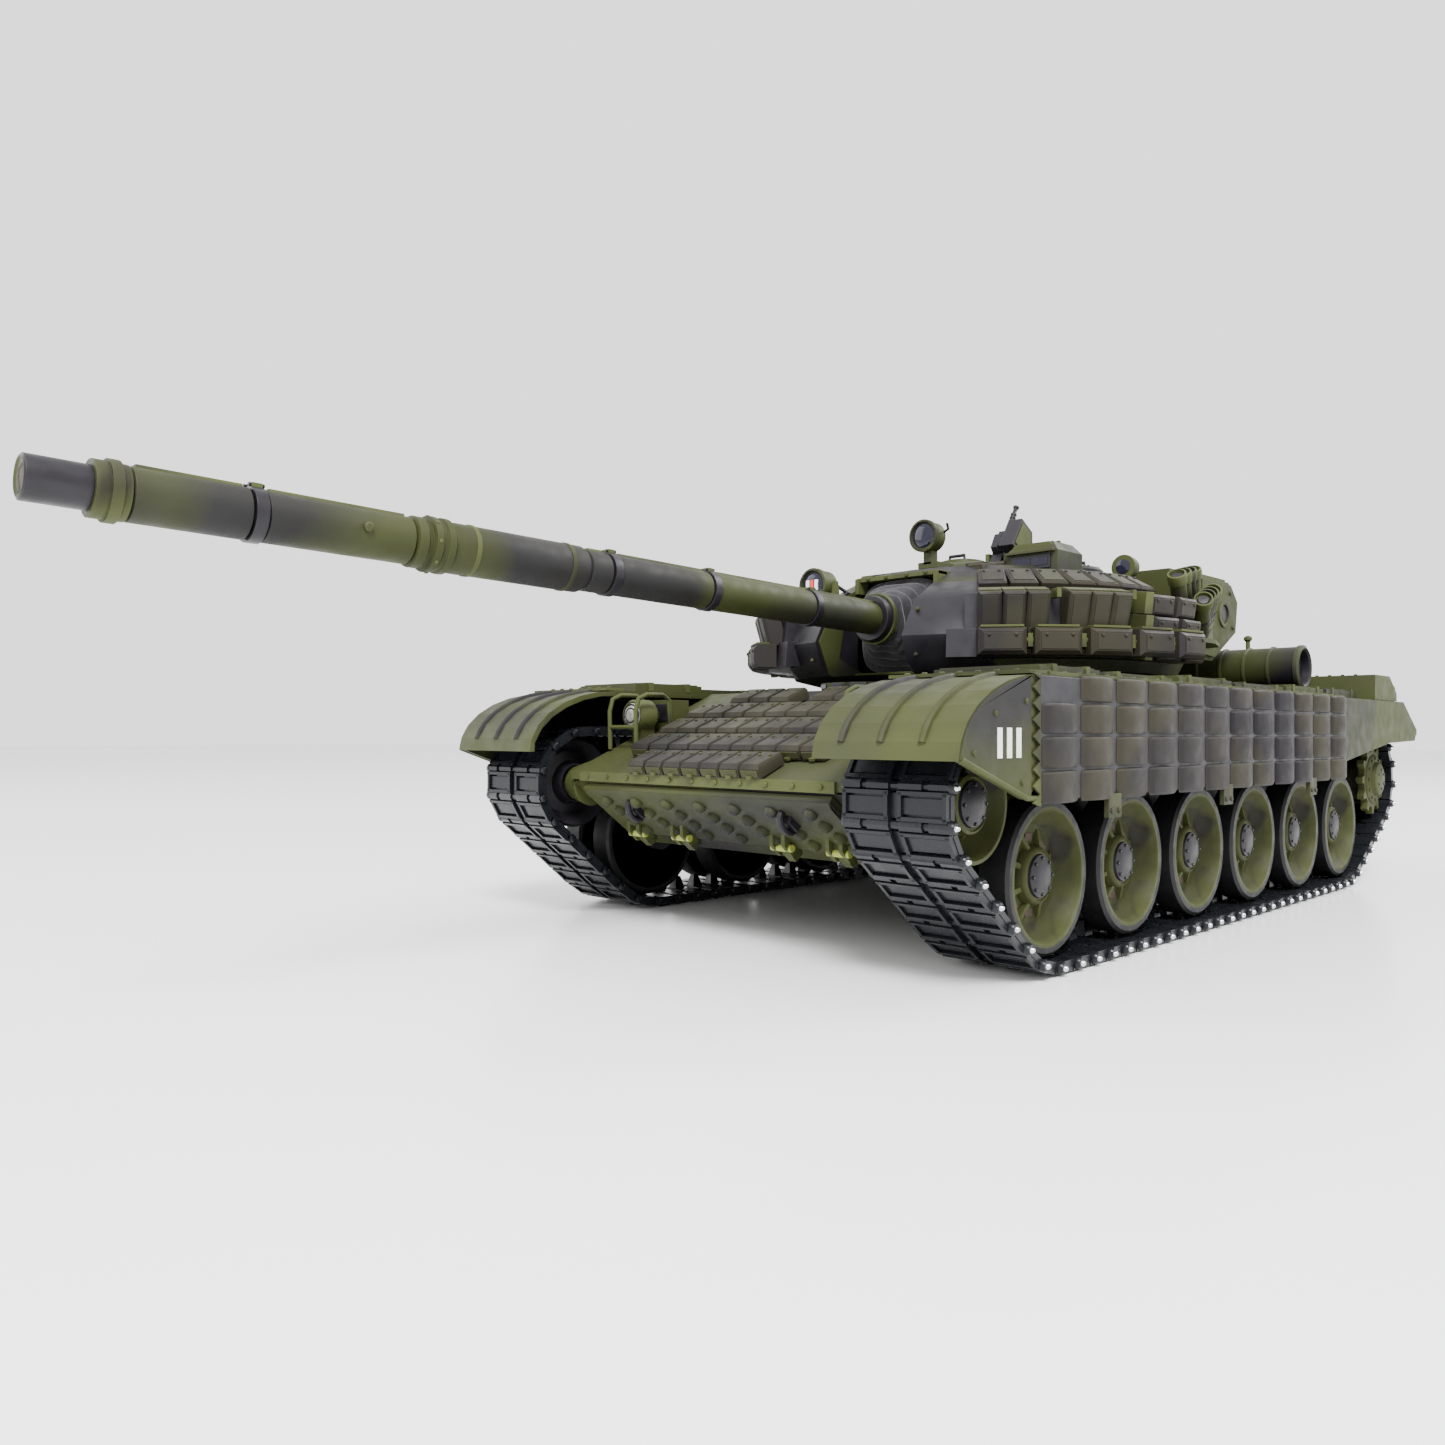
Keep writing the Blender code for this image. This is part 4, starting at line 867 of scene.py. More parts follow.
def turret_bricks():
    """Two rows of bricks on each cheek with their lugs, and the stack beside the launchers."""
    for word, side in sides():
        shape = Shape(I_BRICK)
        # Dark carrier plates behind the bricks, lower and upper.
        for radius, z0, z1, first, last in ((91.5, 97.2, 107.6, 25, 96), (89.0, 107.6, 120.6, 29, 96)):
            rings = []
            for k in range(25):
                a = math.radians(first + (last - first) * k / 24) * side
                corners = ((radius - 10.0, z0), (radius, z0), (radius - (z1 - z0) * 0.1, z1),
                           (radius - 13.0, z1))
                rings.append([(r * math.sin(a), TURRET.y - r * math.cos(a), z) for r, z in corners])
            shape.loft(rings, I_DARK)
        for k, angle in enumerate((36.9, 48.1, 59.6, 71.0, 82.4)):
            shape.place = around(angle, 91.0, 102.2, side)
            shape.brick(16.6, 9.6, 9.2, 1.4, I_BRICK, I_BRICK)
            shape.box((-7.4, -8.2, 4.9), (7.4, -1.5, 5.7), I_TRIM)
            shape.place = around(angle + 5.7, 95.5, 102.4, side)
            shape.box((-0.9, -2.4, -2.2), (0.9, 2.0, 2.6), I_TRIM)
            shape.rod((-1.5, -1.2, 0.2), (1.5, -1.2, 0.2), 1.1, 10, I_TRIM)
            shape.box((-1.7, 0.4, -4.6), (1.7, 2.4, -2.6), I_FACE)
        for angle in (34.6, 39.6, 44.6, 53.4, 58.4, 63.4):
            shape.place = around(angle, 88.6, 114.6, side) @ Matrix.Rotation(math.radians(15), 4, "X")
            shape.brick(8.1, 14.2, 7.4, 0.8, I_BRICK, I_BRICK, False)
            for x in (-1.9, 1.9):
                shape.turned((x, -7.4, -7.0), (0, 1, 0), [(-0.6, 1.6), (1.4, 1.6), (1.4, 0.2)], 12, I_FACE)
            shape.box((-3.9, -5.0, 6.9), (3.9, 1.0, 7.6), I_FACE)
        for z in (101.0, 109.3, 117.6):
            shape.place = around(69.6, 90.5, z, side) @ Matrix.Rotation(math.radians(8), 4, "X")
            shape.box((-1.8, -7.2, -3.9), (1.8, 1.0, 3.9), I_TRIM)
            for angle in (77.0, 87.0):
                reach = 90.0 - (z - 101.0) * 0.2
                shape.place = around(angle, reach, z, side) @ Matrix.Rotation(math.radians(8), 4, "X")
                shape.brick(13.6, 7.7, 6.8, 0.9, I_BRICK, I_BRICK)
        for angle in (48.9, 66.6):
            shape.place = around(angle, 93.0, 119.0, side)
            shape.box((-0.8, -3.0, -1.2), (0.8, 3.0, 2.2), I_TRIM)
        # The flat slab between the boot and the first bricks.
        shape.place = Matrix.Identity(4)
        slab = []
        for z, radius in ((92.6, 79.5), (97.0, 84.4), (106.0, 87.6), (120.0, 79.6), (127.5, 68.0)):
            stations = (20.7, 27.0, 34.0, 41.0, 48.0)
            ahead = [(x, TURRET.y - math.sqrt(radius * radius - x * x)) for x in stations]
            back = [(x, y + 7.0) for x, y in reversed(ahead)]
            slab.append([(side * x, y, z) for x, y in ahead + back])
        shape.loft(slab, I_DARK)
        for x, y, z in ((25.0, -93.6, 99.0), (44.0, -85.0, 99.0), (24.0, -91.2, 116.0),
                        (43.0, -82.6, 116.0)):
            shape.stud((side * x, y, z), (0, -1, 0.3), 0.9, 0.8, 6, I_FACE)
        shape.make(f"{word}_turret_bricks", "turret", "armour_brick", [f"{word}_turret_armour"], 0.3)


def roof_fittings():
    """Bricks on the roof's front and cheeks, sight housing, small lamp, lifting lugs and boot panels."""
    shape = Shape(I_BRICK)
    for row, (y, z, count) in enumerate(((-56.6, 134.0, 8), (-40.6, 136.2, 8))):
        for k in range(count):
            x = (k - (count - 1) / 2) * 7.6
            shape.place = Matrix.Translation((x, y, z)) @ Matrix.Rotation(math.radians(4), 4, "X")
            sections = ((3.4, 0.0, 15.4, -3.4), (3.4, -0.4, 15.4, 1.8), (2.8, 0.6, 14.6, 2.8))
            shape.loft([[(-w, front, h), (w, front, h), (w, back, h), (-w, back, h)]
                        for w, front, back, h in sections], I_BRICK if k % 3 else I_FACE)
            shape.stud((-1.6, 3.4, 2.7), (0, 0, 1), 0.6, 0.5, 6, I_FACE)
            shape.stud((1.6, 11.8, 2.7), (0, 0, 1), 0.6, 0.5, 6, I_FACE)
            shape.box((-2.6, -1.0, -2.4), (2.6, -0.3, 0.8), I_FACE)
    shape.place = Matrix.Identity(4)
    # Cheek-top boxes between the boot and the upper brick rows.
    for side in (-1, 1):
        for k in range(7):
            angle = 36.0 + 8.4 * k
            shape.place = around(angle, 71.5, 126.0, side) @ Matrix.Rotation(math.radians(-60), 4, "X")
            shape.brick(10.2, 13.0, 3.4, 0.8, I_BRICK, I_FACE if k in (2, 5) else I_BRICK)
    shape.place = Matrix.Identity(4)
    # Gunner's sight: a chamfered housing with a slit and a hooded window.
    shape.loft([
        [(29.6, -39.5, 132.0), (52.4, -39.5, 130.0), (52.4, -19.6, 131.0), (29.6, -19.6, 134.0)],
        [(29.6, -39.5, 141.2), (52.4, -39.5, 141.2), (52.4, -19.6, 141.2), (29.6, -19.6, 141.2)],
        [(33.0, -36.5, 145.2), (48.8, -36.5, 145.2), (48.8, -21.0, 145.2), (33.0, -21.0, 145.2)],
    ], I_CAMO)
    shape.box((32.5, -40.0, 134.5), (49.5, -39.3, 139.8), I_DARK)
    for x0, x1 in ((34.0, 41.0), (43.0, 48.4)):
        shape.box((x0, -40.2, 135.6), (x1, -39.8, 138.8), I_LENS)
    shape.box((30.6, -41.6, 140.6), (51.4, -38.0, 141.6), I_CAMO)
    for x in (35.0, 47.0):
        shape.stud((x, -29.0, 145.6), (0, 0, 1), 1.0, 0.7)
    # Small lamp low on the left cheek's top.
    for profile, paint in (([(-4.5, 2.2), (-2.5, 4.4), (2.4, 5.0), (3.2, 5.0), (3.2, 4.2)], I_TRIM),
                           ([(1.5, 4.3), (2.9, 4.1), (3.4, 2.4), (3.6, 0.2)], I_LENS)):
        shape.turned((60.0, 3.0, 137.7), (0, -1, 0), profile, 24, paint)
    shape.tube([(60.0, 4.0, 133.6), (60.0, 5.0, 130.0), (58.0, 6.0, 126.0)], 1.3, 8, I_TRIM)
    for x, y in ((44.0, -6.0), (50.0, 24.0), (-48.0, -2.0), (-46.0, 34.0), (8.0, 44.0)):
        shape.turned((x, y, 134.0), (0, 0, 1), [(0, 3.0), (2.6, 2.7), (3.2, 1.4), (5.6, 1.1), (5.8, 0.2)],
                     16, I_CAMO)
    for x in (-8.0, 0.0, 8.0):
        shape.grip((x, -18.0, 135.8), 2.6, 2.6, 0.6, I_TRIM)
    # Flat dark panels either side of the boot, with a row of studs down their edges.
    panel = [(-76.6, 94.0), (-86.5, 100.0), (-86.5, 116.0), (-76.0, 127.0), (-70.0, 127.0), (-70.0, 94.0)]
    for side in (-1, 1):
        shape.prism("X", panel, side * 20.6, side * 22.8, I_DARK)
        for z in (98.0, 107.0, 116.0):
            shape.stud((side * 21.8, -86.4, z), (0, -1, 0), 0.9, 0.8, 6, I_TRIM)
    shape.make("roof_fittings", "turret", "armour_brick", (), 0.3)


def hatch_cover():
    """The gunner's hatch: a dished lid with a grip, its rim and its hinge."""
    shape = Shape(I_CAMO)
    profile = [(138.0, 0.2), (138.0, 13.8), (138.8, 14.2), (140.2, 14.0), (141.6, 12.4), (141.4, 10.4),
               (142.2, 8.0), (142.4, 0.2)]
    shape.turned((28, 16, 0), (0, 0, 1), profile, 40)
    shape.grip((28.0, 20.0, 142.0), 5.0, 2.4, 0.8, I_DARK)
    for a in spread(8, 0.5):
        shape.stud((28 + 11.9 * math.cos(a), 16 + 11.9 * math.sin(a), 141.4), (0, 0, 1), 0.7, 0.6, 6,
                   I_TRIM)
    shape.rod((22, 1.2, 140.2), (34, 1.2, 140.2), 1.6, 16, I_TRIM)
    shape.box((24, 1.2, 138.8), (32, 6.0, 140.8), I_TRIM)
    shape.make("hatch_lid", "gunner_hatch", "camouflage_paint", ["gunner_hatch"], 0.25)


def lamp(shape, centre, radius, depth):
    """A drum searchlight facing the gun's way, with a thick rim and a bluish lens."""
    x, y, z = centre
    r, d = radius, depth / 2
    drum = [(-d, r - 1.6), (-d - 0.9, r - 1.0), (-d - 0.7, r), (-d + 1.6, r), (-d + 2.0, r - 0.6),
            (d - 2.4, r - 0.6), (d - 0.8, r - 2.4), (d, r - 4.5), (d + 0.1, 0.2)]
    glass = [(-d + 0.3, r - 1.5), (-d - 0.25, r - 2.2), (-d - 0.7, r * 0.4), (-d - 0.8, 0.1)]
    shape.turned(centre, (0, 1, 0), drum, 36, I_TRIM)
    shape.turned(centre, (0, 1, 0), glass, 36, I_LENS)
    for a in spread(8, 0.5):
        shape.stud((x + (r - 0.55) * math.cos(a), y - d - 0.75, z + (r - 0.55) * math.sin(a)), (0, -1, 0),
                   0.4, 0.4, 6, I_CAMO)


def searchlights():
    """The large lamp beside the gun on its shelf, with its yoke, cable and plain coloured bars."""
    shape = Shape(I_TRIM)
    lamp(shape, (-27.0, -86.0, 129.5), 7.0, 10.0)
    shape.box((-29.4, -86.0, 120.8), (-24.6, -69.0, 123.6), I_CAMO)
    shape.prism("X", [(-88.0, 121.0), (-84.0, 121.0), (-84.0, 124.5), (-86.0, 126.0)], -30.5, -23.5)
    for x in (-34.4, -19.6):
        shape.loft([[(x - 0.7, -86.0 - w, z), (x + 0.7, -86.0 - w, z), (x + 0.7, -86.0 + w, z),
                     (x - 0.7, -86.0 + w, z)]
                    for w, z in ((2.5, 121.0), (1.0, 131.0))])
    shape.box((-35.1, -88.5, 120.4), (-18.9, -83.5, 121.6))
    shape.tube([(-27, -80.8, 130), (-27, -77, 131), (-24, -73, 128), (-22, -70, 124)], 0.8, 8, I_DARK)
    for dx, paint in ((-2.2, I_WHITE), (0.0, I_RED), (2.2, I_WHITE)):
        shape.box((-27.0 + dx - 0.8, -92.0, 127.4), (-27.0 + dx + 0.8, -91.5, 131.6), paint)
    shape.make("gun_searchlight_unit", "turret", "camouflage_paint", ["gun_searchlight"], 0.25)


def launchers():
    """Eight smoke tubes with flared mouths on a stepped bracket."""
    shape = Shape(I_TRIM)
    shape.prism("Z", [(66.0, 6.0), (86.5, 3.6), (86.5, 26.0), (80.5, 46.0), (66.0, 52.0)], 106.6, 108.2,
                I_CAMO)
    shape.prism("Z", [(66.0, 6.0), (84.0, 5.0), (84.0, 26.0), (78.0, 45.0), (66.0, 51.0)], 108.0, 115.8,
                I_CAMO)
    casing = [(3.0, 0.2), (3.0, 3.3), (5.5, 3.5), (6.2, 3.0), (21.0, 3.0), (21.6, 3.5), (24.2, 3.7),
              (25.8, 3.5),
              (26.0, 2.9), (24.6, 2.6), (24.4, 0.2)]
    band = [(12.0, 3.05), (12.0, 3.35), (13.2, 3.35), (13.2, 3.05)]
    plug = [(24.5, 2.3), (25.2, 1.9), (25.3, 0.2)]
    for row in range(2):
        for k in range(4):
            base = Vector((80.0 - 2.6 * k + 2.0 * row, 10.0 + 10.0 * k + row * (12.0 - 2.4 * k),
                           112.0 + 1.4 * k - 3.0 * row))
            aim = Vector((0.16 + 0.12 * row, -0.60 + 0.05 * k, 0.76 - 0.36 * row))
            shape.turned(base, aim, casing, 20)
            shape.turned(base, aim, band, 20, I_DARK)
            shape.turned(base, aim, plug, 16, I_DARK)
    shape.make("smoke_tubes", "turret", "camouflage_paint", ["smoke_launchers"], 0.0)


def rear_stowage():
    """Lids, latches and handles on the bins, and ribs, straps and end caps on the tube."""
    shape = Shape(I_CAMO)
    for k in range(5):
        x = -48.0 + 24.0 * k
        shape.box((x - 11.2, 60.0, 141.6), (x + 11.2, 108.0, 143.2))
        shape.box((x - 9.4, 62.0, 143.0), (x + 9.4, 106.0, 143.9), I_TRIM if k == 4 else I_CAMO)
        shape.box((x - 2.0, 107.6, 140.4), (x + 2.0, 111.4, 143.6), I_TRIM)
        shape.grip((x, 84.0, 143.8), 4.0, 1.8, 0.7, I_DARK)
        shape.box((x - 10.4, 117.4, 121.0), (x + 10.4, 119.4, 132.0))
    end_plate = [(76.0, 106.5), (90.0, 105.5), (115.0, 118.5), (117.5, 133.0), (109.5, 140.5),
                 (76.0, 140.5)]
    for side in (-1, 1):
        shape.prism("X", end_plate, side * 60.2, side * 61.4)
        for profile, paint in (([(-0.5, 6.0), (0.9, 6.0), (0.9, 4.6), (0.2, 4.4)], I_TRIM),
                               ([(0.0, 4.4), (0.25, 4.3), (0.3, 0.2)], I_DARK)):
            shape.turned((side * 61.3, 100.0, 126.0), (side, 0, 0), profile, 28, paint)
        for y, z in ((82.0, 110.5), (82.0, 136.5), (108.0, 136.5), (111.0, 120.5)):
            shape.stud((side * 61.3, y, z), (side, 0, 0), 1.1, 0.9)
    shape.make("bin_fittings", "turret", "camouflage_paint", (), 0.3)
    tube = Shape(I_CAMO)
    centre, radius = (0, 129.0, 101.5), 10.0
    ribs = [-36.0 + 11.0 * k for k in range(11)]
    proud = [(-48.0, -1.0), (-47.2, 0.5), (-45.4, 0.5), (-45.0, -0.2)]
    for x in ribs:
        proud += [(x - 0.9, -0.2), (x - 0.4, 0.45), (x + 0.4, 0.45), (x + 0.9, -0.2)]
    proud += [(85.0, -0.2), (85.4, 0.5), (87.2, 0.5), (88.0, -1.0), (87.0, -2.0), (84.0, -2.4)]
    profile = [(-48.0, 0.2)] + [(x, radius + dr) for x, dr in proud] + [(84.0, 0.2)]
    tube.turned(centre, (1, 0, 0), profile, 44)
    for x in (-30.0, 30.0):
        tube.hoop((x, 129.0, 101.5), "X", (10.7, 10.7), 0.7, 30, 6, I_DARK)
        bracket = [(114.0, 106.0), (122.0, 106.0), (122.0, 112.0), (117.5, 117.2), (114.0, 115.3)]
        tube.prism("X", bracket, x - 2, x + 2, I_TRIM)
    tube.rod((62.0, 129.0, 111.0), (62.0, 129.0, 115.4), 1.0, 10, I_TRIM)
    tube.turned((62.0, 129.0, 115.0), (0, 0, 1), [(0, 1.0), (0.8, 1.9), (2.0, 1.9), (2.8, 1.0), (2.9, 0.2)],
                14, I_TRIM)
    tube.make("snorkel_shell", "turret", "camouflage_paint", ["snorkel_tube"], 0.0)


def cupola():
    """The commander's ring with vision blocks, lid, searchlight and gun cradle."""
    shape = Shape(I_CAMO)
    cx, cy = CUPOLA.x, CUPOLA.y
    ring = [(136.7, 0.2), (136.7, 20.4), (141.4, 20.4), (142.2, 18.2), (146.4, 17.4), (148.8, 13.4),
            (149.0, 0.2)]
    shape.turned((cx, cy, 0), (0, 0, 1), ring, 48)
    for a in spread(10, 0.5):
        shape.place = Matrix.Translation((cx, cy, 0)) @ Matrix.Rotation(a, 4, "Z")
        shape.box((-2.6, -20.0, 141.0), (2.6, -16.0, 145.6))
        shape.box((-2.0, -20.3, 142.2), (2.0, -19.9, 144.6), I_LENS)
        shape.stud((6.0, -19.0, 141.3), (0, 0, 1), 0.7, 0.6, 6, I_TRIM)
    shape.place = Matrix.Identity(4)
    lamp(shape, (cx, -14.0, 158.4), 7.3, 10.0)
    shape.box((cx - 5, -16.0, 144.3), (cx + 5, 0.0, 147.0))
    shape.box((cx - 2, -16.0, 146.0), (cx + 2, -11.0, 153.5), I_TRIM)
    shape.tube([(cx + 6.9, -13.0, 160.0), (cx + 9.4, -13.4, 161.0), (cx + 9.6, -14.8, 163.4)], 0.6, 8,
               I_DARK)
    for side in (-1, 1):
        x = MG_PIVOT.x + 5.0 * side
        shape.box((x - 1.0, MG_PIVOT.y - 3.5, 147.0), (x + 1.0, MG_PIVOT.y + 3.5, 157.2), I_TRIM)
        nut = [(0.6, 2.6), (1.5, 2.4), (1.9, 1.2), (2.0, 0.1)]
        shape.turned((x, MG_PIVOT.y, MG_PIVOT.z), (side, 0, 0), nut, 14, I_DARK)
    shape.box((MG_PIVOT.x - 6, 26.0, 142.8), (MG_PIVOT.x + 6, MG_PIVOT.y + 3.5, 147.5))
    shape.turned((cx, cy - 2.0, 148.8), (0, 0, 1), [(0, 11.0), (1.0, 10.6), (1.7, 8.0), (1.8, 0.2)], 32)
    shape.grip((cx, cy - 6.0, 150.2), 4.0, 2.2, 0.8, I_DARK)
    shape.make("cupola_unit", "cupola", "camouflage_paint", ["commander_cupola"], 0.3)


def roof_gun():
    """The roof machine gun in its cradle, raised to the rear."""
    shape = Shape(I_DARK)
    x, y, z = MG_PIVOT
    shape.place = tilted(MG_PIVOT, MG_TILT)
    shape.loft([[(x - 3, y + dy, z - 3), (x + 3, y + dy, z - 3), (x + 3, y + dy, z + top),
                 (x - 3, y + dy, z + top)]
                for dy, top in ((-5, 3.4), (15, 4))])
    shape.loft([[(x - w, y + front, z + dz), (x + w, y + front, z + dz), (x + w, y + back, z + dz),
                 (x - w, y + back, z + dz)] for w, front, back, dz in ((2.4, 1, 11, 3), (1.8, 2, 10, 8))])
    profile = [(0, 2.0), (2.6, 2.0), (2.8, 1.3)]
    for k in range(6):
        profile += [(3.2 + 2.0 * k, 1.3), (3.6 + 2.0 * k, 1.6), (4.2 + 2.0 * k, 1.6), (4.6 + 2.0 * k, 1.3)]
    profile += [(15.6, 1.0), (17.8, 1.0), (18.0, 1.5), (19.0, 1.5), (19.0, 0.6), (17.0, 0.6)]
    shape.turned((x, y + 13.0, z + 1.0), (0, 1, 0), profile, 16)
    shape.rod((x - 3.7, y, z), (x + 3.7, y, z), 2.2)
    shape.box((x + 1.5, y + 3, z + 5), (x + 8, y + 8, z + 8))
    belt_box = [(y - 2, z + 1), (y + 9, z - 2), (y + 14, z + 1), (y + 14, z + 12), (y - 2, z + 13)]
    plate = [(y, z + 2.5), (y + 9, z), (y + 12.4, z + 2.5), (y + 12.4, z + 10.4), (y, z + 11.4)]
    shape.prism("X", belt_box, x + 6.6, x + 14.0)
    shape.prism("X", plate, x + 13.8, x + 14.4, I_TRIM)
    shape.make("roof_gun", "machine_gun", "dark_gun", ["machine_gun"], 0.3)


# ---------------------------------------------------------------- gun


def gun():
    """The barrel: bare muzzle, thermal sleeves with clamps, fume extractor and a top strip."""
    shape = Shape(I_GUN)
    shape.place = tilted(TRUNNION, -GUN_TILT)
    z = TRUNNION.z

    def lathe(profile, steps=40, paint=None):
        shape.turned((0, 0, z), (0, 1, 0), profile, steps, paint)

    lathe([(-373.4, 3.9), (-374.0, 4.4), (-373.6, 5.0), (-361.0, 5.0)], 40, I_DARK)
    lathe([(-373.6, 3.7), (-373.95, 4.2), (-373.6, 4.7), (-373.1, 4.9)], 40, I_TRIM)
    # Painted shade: the bore's lining takes the shade colour.
    lathe([(-373.6, 3.9), (-345.0, 3.9), (-345.0, 0.1), (-345.5, 0.1), (-345.5, 3.4), (-373.5, 3.4)], 32,
          I_RECESS_SHADE)
    lathe([(-361.0, 4.4), (-361.0, 6.4), (-358.0, 6.4), (-358.0, 7.0), (-355.6, 7.0), (-355.2, 6.3),
           (-353.8, 6.3),
           (-353.8, 4.4)], 40, I_TRIM)
    strip = [(-1.5, z + 5.7), (1.5, z + 5.7), (1.2, z + 6.75), (-1.2, z + 6.75)]
    for y0, y1 in ((-353.7, -327.6), (-324.4, -286.0), (-229.0, -220.6), (-217.4, -178.6), (-175.4, -127.0),
                   (-124.0, -82.5)):
        lathe([(y0, 5.4), (y0 + 0.5, 6.2), (y1 - 0.5, 6.2), (y1, 5.4)])
        shape.prism("Y", strip, y0 + 1.5, y1 - 1.5, I_TRIM)
    for y in (-326.0, -219.0, -177.0, -125.5):
        lathe([(y - 1.6, 5.8), (y - 1.5, 6.7), (y + 1.5, 6.7), (y + 1.6, 5.8)], 40, I_DARK)
        shape.box((-2.2, y - 1.3, z + 6.2), (2.2, y + 1.3, z + 7.4), I_TRIM)
        for x in (-1.6, 1.6):
            shape.rod((x, y - 1.9, z + 6.9), (x, y + 1.9, z + 6.9), 0.5, 8, I_DARK)
    # Fume extractor between its two double rings.
    lathe([(-286.0, 5.6), (-285.4, 6.8), (-283.0, 6.8), (-282.6, 6.2), (-281.4, 6.2), (-281.0, 7.5),
           (-279.2, 7.5),
           (-278.6, 6.9), (-277.6, 6.9), (-277.2, 7.5), (-275.4, 7.5), (-274.6, 6.4), (-273.0, 6.9),
           (-231.0, 6.9), (-229.6, 6.2), (-229.0, 5.6)], 44)
    for y in (-268.0, -236.0):
        lathe([(y - 0.8, 6.8), (y - 0.6, 7.15), (y + 0.6, 7.15), (y + 0.8, 6.8)], 40, I_TRIM)
    for a in spread(8):
        out = (math.cos(a), 0, math.sin(a))
        shape.stud((7.2 * out[0], -280.1, z + 7.2 * out[2]), out, 0.6, 0.6, 6, I_TRIM)
    shape.stud((6.0, -300.0, z + 0.6), (1, 0, 0), 1.3, 1.4, 10, I_TRIM)
    # The root inside the boot, the rotor on its trunnions and the breech block.
    lathe([(-84.0, 5.6), (-83.4, 6.4), (-50.0, 6.4), (-50.0, 0.2)], 32, I_DARK)
    shape.rod((-15, TRUNNION.y, z), (15, TRUNNION.y, z), 9.5, 28, I_DARK)
    shape.rod((-18.4, TRUNNION.y, z), (18.4, TRUNNION.y, z), 4.0, 20, I_DARK)
    shape.box((-6, TRUNNION.y + 4, 107.5), (6, TRUNNION.y + 34, 119.5), I_DARK)
    shape.make("gun_tube", "gun", "gun_paint", ["gun_barrel"], 0.2)


def boot():
    """The canvas cover from the barrel's flange back to the turret's opening, in deep folds."""
    count, rings = 56, 44
    points, faces = [], []
    for j in range(rings):
        t = j / (rings - 1)
        y = -84.5 + 16.5 * t
        half_w = 8.2 + 11.4 * t ** 1.4
        half_h = 8.2 + 10.6 * t ** 1.3
        lift = 1.2 * (1 - t)
        for i in range(count):
            a = 2 * math.pi * i / count
            power = 2.0 + 2.4 * t
            c, s = math.cos(a), math.sin(a)
            reach = (abs(c) ** power + abs(s) ** power) ** (-1.0 / power)
            wander = 0.7 * math.sin(3 * a + 1.0) + 0.5 * math.sin(2 * a)
            fold = 0.55 * math.sin(5.5 * 2 * math.pi * t + wander)
            fold += 0.28 * math.sin(7 * a + 9 * t) * math.sin(math.pi * t)
            scale = 1.0 + fold / (8.0 + 10.0 * t)
            x = half_w * reach * c * scale
            z = TRUNNION.z + lift - 1.2 * t + half_h * reach * s * scale
            points.append((x, y, z))
    for j in range(rings - 1):
        for i in range(count):
            k = (i + 1) % count
            faces.append((j * count + i, j * count + k, (j + 1) * count + k, (j + 1) * count + i))
    mesh = bpy.data.meshes.new("mantlet_boot")
    mesh.from_pydata([framed(*p) for p in points], [], faces)
    mesh.materials.append(CANVAS)
    mesh.polygons.foreach_set("use_smooth", [True] * len(faces))
    mesh.update()
    tidy_normals(mesh)
    cloth = bpy.data.objects.new("mantlet_boot", mesh)
    bpy.context.scene.collection.objects.link(cloth)
    thick = cloth.modifiers.new("cloth", "SOLIDIFY")
    thick.thickness = 0.5 * MM
    thick.offset = -1.0
    smooth = cloth.modifiers.new("smooth", "SUBSURF")
    smooth.levels = 1
    smooth.render_levels = 1
    bpy.context.view_layer.update()
    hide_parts("mantlet_cover")
    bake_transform(cloth)
    # The flange that clamps the cloth to the barrel, with its pale edge.
    ring = Shape(I_DARK)
    ring.place = tilted(TRUNNION, -GUN_TILT)
    centre = (0, 0, TRUNNION.z)
    clamp = [(-89.0, 6.3), (-89.0, 8.6), (-86.0, 9.4), (-83.6, 9.4), (-83.6, 6.3), (-89.0, 6.3)]
    ring.turned(centre, (0, 1, 0), clamp, 40)
    ring.turned(centre, (0, 1, 0), [(-86.2, 8.9), (-86.4, 10.0), (-84.6, 10.2), (-84.4, 8.9)], 40, I_TRIM)
    for a in spread(10, 0.5):
        ring.stud((8.4 * math.cos(a), -86.6, TRUNNION.z + 8.4 * math.sin(a)), (0, -1, 0), 0.6, 1.0, 6,
                  I_TRIM)
    ring.make("boot_flange", "gun", "gun_paint", (), 0.2)
    rails = Shape(I_TRIM)
    rails.box((-20.0, -72.0, 131.6), (20.0, -56.0, 133.4))
    for x in (-20.0, 18.2):
        rails.box((x, -73.0, 126.8), (x + 1.8, -66.0, 133.0))
    rails.box((-20.0, -72.6, 92.8), (20.0, -66.0, 94.4))
    for x in (-14.0, -5.0, 5.0, 14.0):
        rails.stud((x, -72.0, 132.5), (0, -1, 0), 0.9, 0.8, 6, I_CAMO)
    rails.make("boot_frame", "turret", "camouflage_paint", (), 0.3)


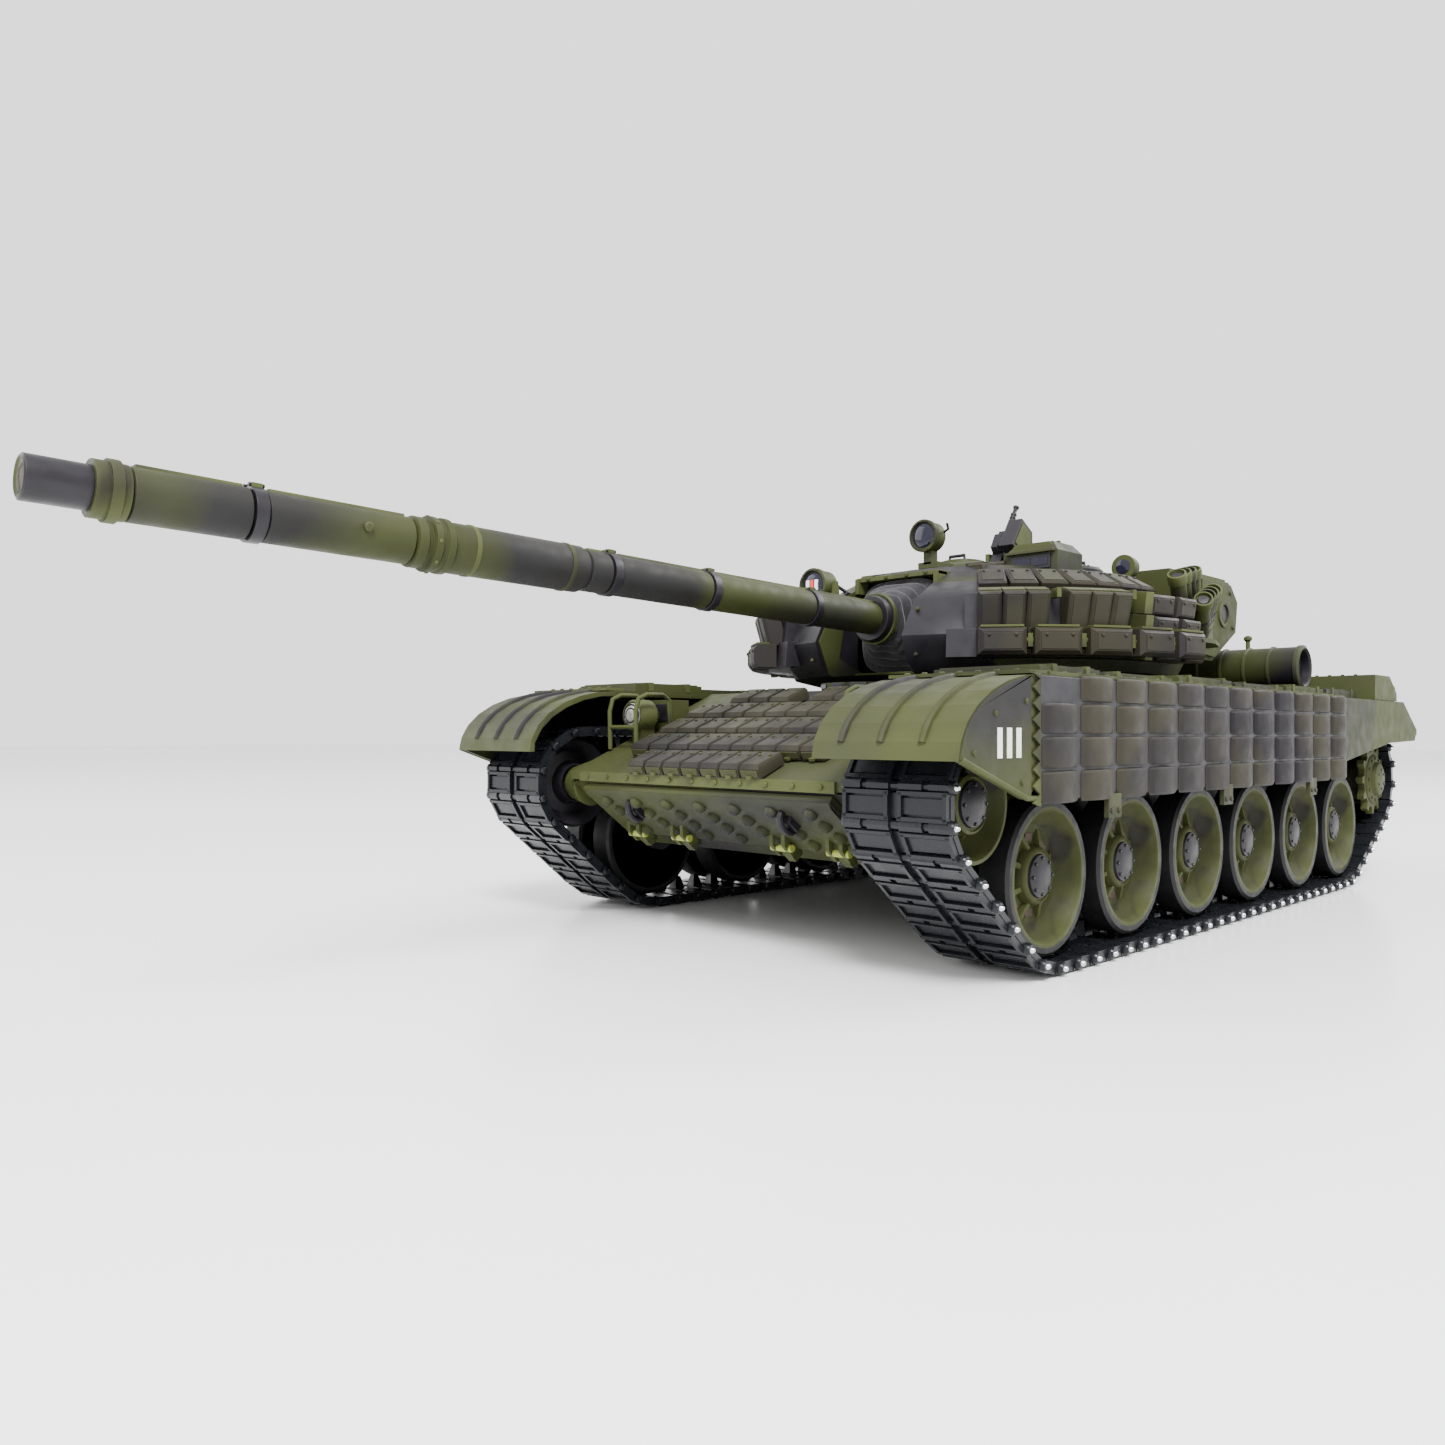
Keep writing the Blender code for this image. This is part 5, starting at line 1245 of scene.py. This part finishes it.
# ---------------------------------------------------------------- stage


def stage():
    """A glossy white floor, an even white world and three soft lamps, in metres."""
    floor_mesh = bpy.data.meshes.new("floor")
    corners = [(x, y, -0.0004) for x, y in ((-6, -6), (6, -6), (6, 6), (-6, 6))]
    floor_mesh.from_pydata(corners, [], [(0, 1, 2, 3)])
    floor = bpy.data.objects.new("floor", floor_mesh)
    bpy.context.scene.collection.objects.link(floor)
    cover = Paint("floor_white", 0.22)
    cover.colour(cover.ramp(cover.noise(1.5), (0.3, (0.86, 0.86, 0.86)), (0.7, (0.88, 0.88, 0.88))))
    floor_mesh.materials.append(cover.material)
    world = bpy.data.worlds.new("studio")
    world.use_nodes = True
    sky = world.node_tree.nodes["Background"].inputs
    sky["Color"].default_value = (1.0, 1.0, 1.0, 1.0)
    sky["Strength"].default_value = 1.9
    bpy.context.scene.world = world
    for name, spot, size, power in (
        ("key", (0.9, -1.0, 1.5), 0.6, 85.0),
        ("fill", (-1.3, -0.9, 0.7), 1.0, 10.0),
        ("back", (0.5, 1.3, 1.2), 0.8, 24.0),
    ):
        data = bpy.data.lights.new(name, "AREA")
        data.size = size
        data.energy = power
        light = bpy.data.objects.new(name, data)
        light.location = spot
        light.rotation_euler = (-Vector(spot)).to_track_quat("-Z", "Y").to_euler()
        bpy.context.scene.collection.objects.link(light)


def camera():
    """Low at the left front corner of the tank, close enough for strong perspective."""
    data = bpy.data.cameras.new("camera")
    data.sensor_width = 36.0
    data.lens = CAMERA_LENS
    data.clip_start = 0.01
    view = bpy.data.objects.new("camera", data)
    view.location = CAMERA_SPOT
    view.rotation_euler = [math.radians(degrees) for degrees in CAMERA_TURN]
    bpy.context.scene.collection.objects.link(view)
    bpy.context.scene.camera = view


paint_nodes()
tracks()
wheels()
skirts()
guards()
glacis_bricks()
nose_fittings()
headlights()
deck_fittings()
running_fittings()
turret_bricks()
roof_fittings()
hatch_cover()
searchlights()
launchers()
rear_stowage()
cupola()
roof_gun()
gun()
boot()
stage()
camera()
